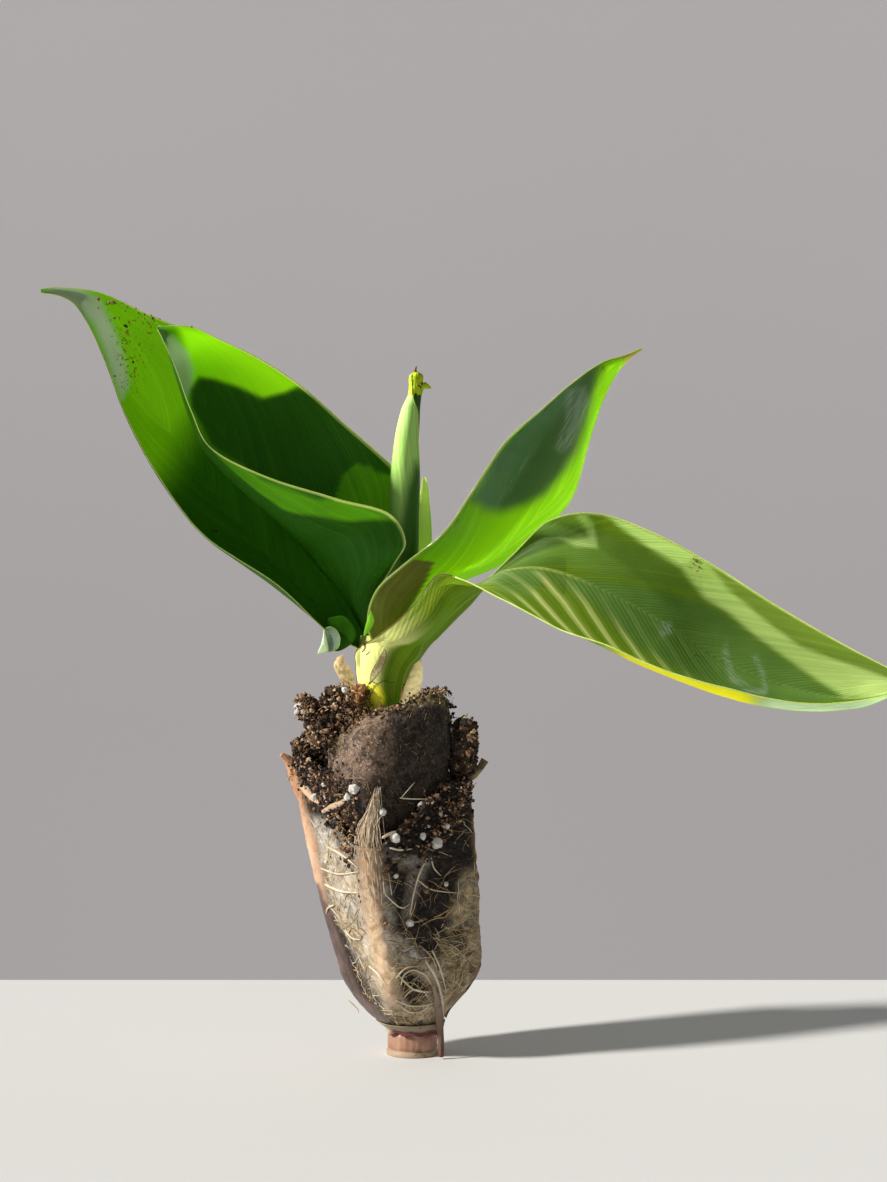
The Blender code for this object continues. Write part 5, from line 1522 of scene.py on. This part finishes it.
def make_plug(looks):
    rows, columns = 90, 200
    angles = np.linspace(0, TAU, columns, endpoint=False)
    rim = on_cell(PLUG, angles, PLUG_TOP)
    tops = np.array([plug_top(point) for point in rim])
    share = np.linspace(0, 1, rows)[:, None]
    height = 58.5 + (tops[None, :] - 58.5) * share
    angle = np.broadcast_to(angles[None, :], height.shape)
    base = on_cell(PLUG, angle, height)
    flat = base.reshape(-1, 3)
    worn = 0.55 + 0.7 * noise_at(flat, 0.2, 2, 1.0).reshape(height.shape)
    worn += (0.28 + 0.5 * ease((share - 0.86) / 0.1)) * noise_at(flat, 0.9, 3, 9.0).reshape(height.shape)
    edge = 2.4 * ease((share - 0.90) / 0.10) ** 1.6
    side = on_cell(PLUG, angle, height, worn + edge)
    lid = []
    centre = np.array([-8.6, 0.0])
    for step in range(1, 15):
        ring = side[-1].copy()
        ring[:, :2] = centre + (ring[:, :2] - centre) * (1 - step / 14)
        ring[:, 2] = [plug_top(point) + 0.3 for point in ring]
        ring[:, 2] += 0.9 * noise_at(ring, 0.35, 3, 3.0)
        lid.append(ring)
    grid = np.concatenate([side, np.array(lid)])
    # the plug's right side and low front: painted shade together with compost that clings there
    dark = zone(grid, [(388, 705), (394, 740), (390, 790), (392, 860), (475, 860), (475, 690), (440, 702), (412, 706)], 9.0)
    dark = np.maximum(dark, zone(grid, [(320, 786), (372, 778), (395, 770), (440, 770), (440, 870), (320, 870)], 10.0))
    moss = zone(grid, [(404, 682), (452, 682), (456, 712), (430, 700), (404, 706)], 5.0)
    moss = np.maximum(moss, zone(grid, [(300, 728), (340, 722), (345, 745), (318, 755)], 6.0) * 0.7)
    zones = {"marks": np.stack([dark, moss, 0 * dark], -1)}
    item = make_piece("peat_felt", grid, grid_faces(grid.shape[0], columns, closed=True), [looks["felt"]], marks=zones)
    wear_piece(item, ("peat_plug",))
    # short fibres of the felt, and a few long pale ones
    rng = np.random.default_rng(8)
    heap = Heap()
    for index in range(1500):
        a, z = rng.uniform(0, TAU), rng.uniform(60, 99)
        point = on_cell(PLUG, a, z, 0.45)
        if z > plug_top(point) - 0.5:
            continue
        way = rng.normal(size=3)
        outward = point - np.array([-8.0, 0.0, z])
        outward /= np.linalg.norm(outward)
        way = way - outward * way.dot(outward) * 0.75
        way /= np.linalg.norm(way)
        size = rng.uniform(0.7, 2.2) if index % 40 else rng.uniform(4, 9)
        bend = np.cross(way, outward) * rng.normal(0, 0.35)
        steps = np.linspace(0, 1, 5)[:, None]
        path = point + outward * 0.15 + way * size * steps + bend * size * steps**2
        add_tube(heap, path, 0.045 if index % 40 else 0.07, 3, 0 if index % 5 else 1)
    wear_piece(heap.piece("felt_fibres", [looks["root_brown"], looks["root_tan"]]))


Lump = namedtuple("Lump", "x y z radius")
LEFT_CLOD = (
    Lump(-29.6, -4.0, 97.2, 3.8),
    Lump(-26.4, -3.5, 92.6, 5.0),
    Lump(-22.6, -3.5, 99.0, 4.6),
    Lump(-19.0, -2.5, 98.8, 4.2),
)
RIGHT_CLOD = (
    Lump(14.2, -3.5, 90.8, 4.0),
    Lump(13.6, -3.5, 86.2, 4.7),
    Lump(13.4, -3.0, 81.6, 4.8),
)


def make_clods(looks):
    shape = ball_shape(5)
    for name, lumps, node in (("clod_left_body", LEFT_CLOD, "clod_left"), ("clod_right_body", RIGHT_CLOD, "clod_right")):
        heap = Heap()
        for lump in lumps:
            centre = np.array([lump.x, lump.y, lump.z])
            points = shape[0] * (lump.radius - 0.9) + centre
            bump = 0.9 * noise_at(points, 0.45, 3, lump.radius) + 0.45 * noise_at(points, 1.3, 3, 2.0)
            heap.add(points + shape[0] * bump[:, None], shape[1])
        wear_piece(heap.piece(name, [looks["soil"]]), (node,))


CRUMB_OUTLINE = [
    (294, 702), (298, 694), (310, 694), (318, 702), (326, 690), (330, 682), (345, 678), (357, 684), (366, 700), (398, 706),
    (404, 694), (422, 688), (446, 686), (454, 697), (457, 720), (466, 717), (478, 718), (480, 735), (478, 758), (474, 782),
    (474, 815), (484, 860), (484, 980), (340, 980), (300, 860), (286, 790), (286, 772), (292, 755), (292, 742), (303, 733),
    (312, 724), (298, 718)]


ROOT_FLARE = [(360, 792), (384, 792), (386, 836), (382, 880), (354, 880), (356, 836)]


def on_compost(place):
    """Whether a grain at a place stays inside the heap's outline and off the pale roots in front."""
    place = np.asarray(place)[None]
    if place[0, 1] < 0 and zone(place, ROOT_FLARE, 0.5)[0] > 0.5:
        return False
    return zone(place, CRUMB_OUTLINE, 0.5)[0] > 0.5


def scatter_crumbs(looks, brims):
    """Loose grains on the compost, the plug and the clods."""
    rng = np.random.default_rng(21)
    small, medium = ball_shape(1), ball_shape(2)
    grains = Heap()
    white = Heap()
    for index in range(4600):
        kind = rng.uniform()
        if kind < 0.42:
            angle = rng.uniform(0, TAU)
            brim = brims[int(angle / TAU * len(brims)) % len(brims)]
            height = brim - rng.exponential(4.0)
            place = on_cell(CELL, angle, height, rng.uniform(0.5, 1.3))
        elif kind < 0.60:
            angle = rng.uniform(0, TAU)
            brim = brims[int(angle / TAU * len(brims)) % len(brims)]
            outer, inner = on_cell(CELL, angle, brim, 1.2), on_cell(PLUG, angle, max(brim, 59.0), 0.0)
            place = outer + (inner - outer) * rng.uniform(0, 1)
            place[2] = brim - 0.6 + rng.normal(0, 0.5)
        elif kind < 0.88:
            lump = (LEFT_CLOD + RIGHT_CLOD)[rng.integers(7)]
            way = rng.normal(size=3)
            way /= np.linalg.norm(way)
            place = np.array([lump.x, lump.y, lump.z]) + way * (lump.radius - 0.6)
        else:
            a, r = rng.uniform(0, TAU), 13 * math.sqrt(rng.uniform())
            place = np.array([-8.6 + r * math.cos(a), r * math.sin(a) * 0.9, 0.0])
            place[2] = plug_top(place) + 0.5
        size = min(rng.lognormal(-1.05, 0.50), 1.2)
        shape = medium if size > 0.6 else small
        if not on_compost(place):
            continue
        if rng.uniform() < 0.03:
            add_crumb(white, medium, place, size * 0.95, rng, 0, 0.12)
        else:
            add_crumb(grains, shape, place, size, rng, int(rng.choice(3, p=(0.58, 0.34, 0.08))))
    placed = (
        (437, 843, 1.5), (410, 923, 1.05), (354, 789, 1.3), (348, 797, 1.1), (395, 838, 1.4),
        (383, 812, 1.0), (423, 836, 1.0), (447, 826, 0.8), (326, 862, 0.6),
        (446, 884, 0.7), (396, 876, 0.7), (345, 690, 0.9), (315, 797, 1.1), (324, 785, 0.7))
    for px, py, size in placed:
        place = on_front(px, py)
        add_crumb(white, medium, place, size, rng, 0, 0.10)
    for px, py, size in ((299, 706, 1.25), (304, 711, 0.9), (297, 712, 0.7)):
        add_crumb(white, medium, from_photo(px, py, rng.uniform(-8.5, -7.0)), size, rng, 0, 0.22)
    # heaps: middle and spread in pixels, depths or None for the ball's surface, slope, count, sizes, shares of colours
    heaps = (
        ((448, 822), (14, 9), None, -1.25, 330, (0.18, 0.55), (0.46, 0.38, 0.16)),
        ((330, 790), (20, 13), None, 0.95, 1100, (0.16, 0.60), (0.80, 0.14, 0.06)),
        ((346, 706), (11, 10), (-8.5, 2.0), 0.0, 1300, (0.18, 0.66), (0.24, 0.34, 0.42)),
        ((322, 728), (13, 11), (-8.0, 2.0), 0.0, 1100, (0.18, 0.70), (0.38, 0.32, 0.30)),
        ((301, 752), (7, 13), (-3.0, 5.0), 0.3, 600, (0.18, 0.65), (0.66, 0.22, 0.12)),
        ((306, 706), (7, 6), (-8.5, -3.0), 0.0, 420, (0.18, 0.60), (0.30, 0.36, 0.34)),
        ((457, 752), (8, 22), (-6.0, 4.0), 0.0, 1100, (0.18, 0.65), (0.93, 0.05, 0.02)),
        ((428, 694), (13, 3), (-7.0, 3.0), -0.2, 420, (0.15, 0.45), (0.40, 0.36, 0.24)),
        ((380, 716), (16, 4), (-13.0, -9.0), -0.3, 420, (0.15, 0.50), (0.38, 0.36, 0.26)),
    )
    for middle, spread, depths, slope, count, sizes, shares in heaps:
        for _ in range(count):
            px = rng.normal(middle[0], spread[0])
            py = rng.normal(middle[1], spread[1]) + slope * (px - middle[0])
            place = np.array(from_photo(px, py, rng.uniform(*depths))) if depths else on_front(px, py)
            if not on_compost(place):
                continue
            slot = int(rng.choice(3, p=shares))
            if rng.uniform() < 0.22:
                way = rng.normal(size=3)
                bend = place + way * rng.uniform(0.3, 0.9)
                path = (place - way * 0.4, place, bend, bend + rng.normal(size=3) * 0.3)
                add_tube(grains, path, (0.05, 0.11, 0.09, 0.04), 4, max(slot, 1))
            else:
                add_crumb(grains, small, place, rng.uniform(*sizes), rng, slot)
    wear_piece(grains.piece("compost_crumbs", [looks["crumb_dark"], looks["crumb_brown"], looks["crumb_tan"]], smooth=False))
    wear_piece(white.piece("perlite_grains", [looks["perlite"]], smooth=False))


def on_front(px, py, table=None):
    """Point on the front of the root ball, or of the plug above its brim, that shows at a pixel."""
    depth = -14.0
    for _ in range(8):
        point = from_photo(px, py, depth)
        angles = np.linspace(LEFT_CORNER, RIGHT_CORNER, 200)
        height = min(max(point.z, 7.5), 100.0)
        body = table or (CELL if height < 80 else PLUG)
        front = on_cell(body, angles, np.full(200, min(max(height, body[0][0]), body[0][-1])), 0.4)
        depth = float(np.interp(point.x, front[:, 0], front[:, 1]))
    return np.array(from_photo(px, py, depth - 0.2))


def make_twig(looks):
    heap = Heap()
    path = [from_photo(px, py, -4.0) for px, py in ((468, 779), (474, 775), (480, 768), (485, 760))]
    add_tube(heap, path, [1.0, 1.05, 0.95, 1.15], 9)
    wear_piece(heap.piece("twig_stub", [looks["twig"]]), ("twig",))


# ---- stage
def make_stage():
    floor = make_piece("floor", [(-2500, -2000, 0), (2500, -2000, 0), (2500, 113, 0), (-2500, 113, 0)], [(0, 1, 2, 3)], [])
    look = Look("floor_look", 0.75, 0.1)
    look.colour(look.mix((0.76, 0.765, 0.77), (0.80, 0.805, 0.81), look.noise(4.0, 2.0)))
    look.bump(look.noise(900.0, 2.0), 0.05, 0.0002)
    floor.data.materials.append(look.material)
    wall = make_piece("wall", [(-6000, 1600, -3000), (6000, 1600, -3000), (6000, 1600, 4000), (-6000, 1600, 4000)], [(0, 1, 2, 3)], [])
    paint = Look("wall_look", 0.9, 0.1)
    paint.colour(paint.mix((0.62, 0.595, 0.63), (0.67, 0.645, 0.68), paint.noise(1.2, 3.0)))
    wall.data.materials.append(paint.material)


def sun_light(name, way, strength, angle, receivers, blockers=()):
    """Warm sun that shines on some pieces only, and that all pieces or only some of them block."""
    sun = bpy.data.lights.new(name, "SUN")
    sun.energy = strength
    sun.angle = math.radians(angle)
    sun.color = (1.0, 0.965, 0.89)
    item = bpy.data.objects.new(name, sun)
    item.rotation_euler = Vector(way).to_track_quat("Z", "Y").to_euler()
    bpy.context.scene.collection.objects.link(item)
    for kind, pieces in (("receiver_collection", receivers), ("blocker_collection", blockers)):
        if pieces:
            group = bpy.data.collections.new(name + "_" + kind)
            for piece in pieces:
                group.objects.link(piece)
            setattr(item.light_linking, kind, group)


BACK_SUN, SIDE_SUN, LEFT_SUN = (-0.55, 0.29, 0.78), (-0.80, -0.30, 0.50), (-0.86, 0.02, 0.50)


def make_lights():
    """Back light that glows through the leaves, and soft low side light for the rest."""
    meshes = [item for item in bpy.context.scene.objects if item.type == "MESH"]

    def named(*starts):
        return [item for item in meshes if item.name.startswith(starts)]

    rolled = named("spear")
    scraps = named("bract", "auricle", "bright")
    leaves = named("outer_left", "inner_left", "upper_right", "far_right", "bud", "leaf_crumbs")
    base = [item for item in meshes if item not in rolled + scraps + leaves + named("stem", "dry", "web")]
    upper = named("upper_right")
    outer, inner, far, dry = named("outer_left"), named("inner_left", "bud"), named("far_right"), named("dry")
    sun_light("outer", BACK_SUN, 4.0, 1.5, outer + named("leaf_crumbs"), outer)
    sun_light("inner", BACK_SUN, 5.8, 1.5, inner, inner)
    sun_light("upper", BACK_SUN, 4.0, 1.5, upper, upper)
    sun_light("far", BACK_SUN, 5.0, 3.0, far, far)
    sun_light("dry", BACK_SUN, 4.5, 3.0, dry, dry)
    sun_light("papery", SIDE_SUN, 4.0, 6.0, dry)
    stem = named("stem")
    sun_light("stalk", SIDE_SUN, 5.4, 6.0, far + stem)
    sun_light("side", SIDE_SUN, 4.8, 6.0, base + scraps + upper + named("bud", "leaf_crumbs"))
    sun_light("web", SIDE_SUN, 4.4, 6.0, named("web"), named("web"))
    sun_light("left", LEFT_SUN, 10.5, 5.0, rolled)
    world = bpy.data.worlds.new("studio")
    bpy.context.scene.world = world
    world.use_nodes = True
    world.node_tree.nodes["Background"].inputs[0].default_value = (0.96, 0.97, 1.0, 1.0)
    world.node_tree.nodes["Background"].inputs[1].default_value = 0.14
    bpy.context.scene.view_settings.view_transform = "Standard"


def make_camera():
    data = bpy.data.cameras.new("camera")
    data.lens = 36.0 * FOCAL / 1182
    data.clip_start = 0.01
    camera = bpy.data.objects.new("camera", data)
    camera.location = Vector(EYE) * MM
    camera.rotation_euler = (math.radians(90), 0.0, 0.0)
    bpy.context.scene.collection.objects.link(camera)
    bpy.context.scene.camera = camera


def main():
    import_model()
    make_camera()
    make_stage()
    looks = make_looks()
    grids = {plan.name: make_leaf(plan, looks) for plan in LEAF_PLANS}
    make_leaf_dirt(grids, looks)
    make_spear(looks)
    make_stem(looks)
    make_stem_scraps(looks)
    brims = make_root_ball(looks)
    make_roots(looks, brims)
    make_film(looks)
    make_collar(looks)
    make_plug(looks)
    make_clods(looks)
    scatter_crumbs(looks, brims)
    make_twig(looks)
    make_lights()


main()
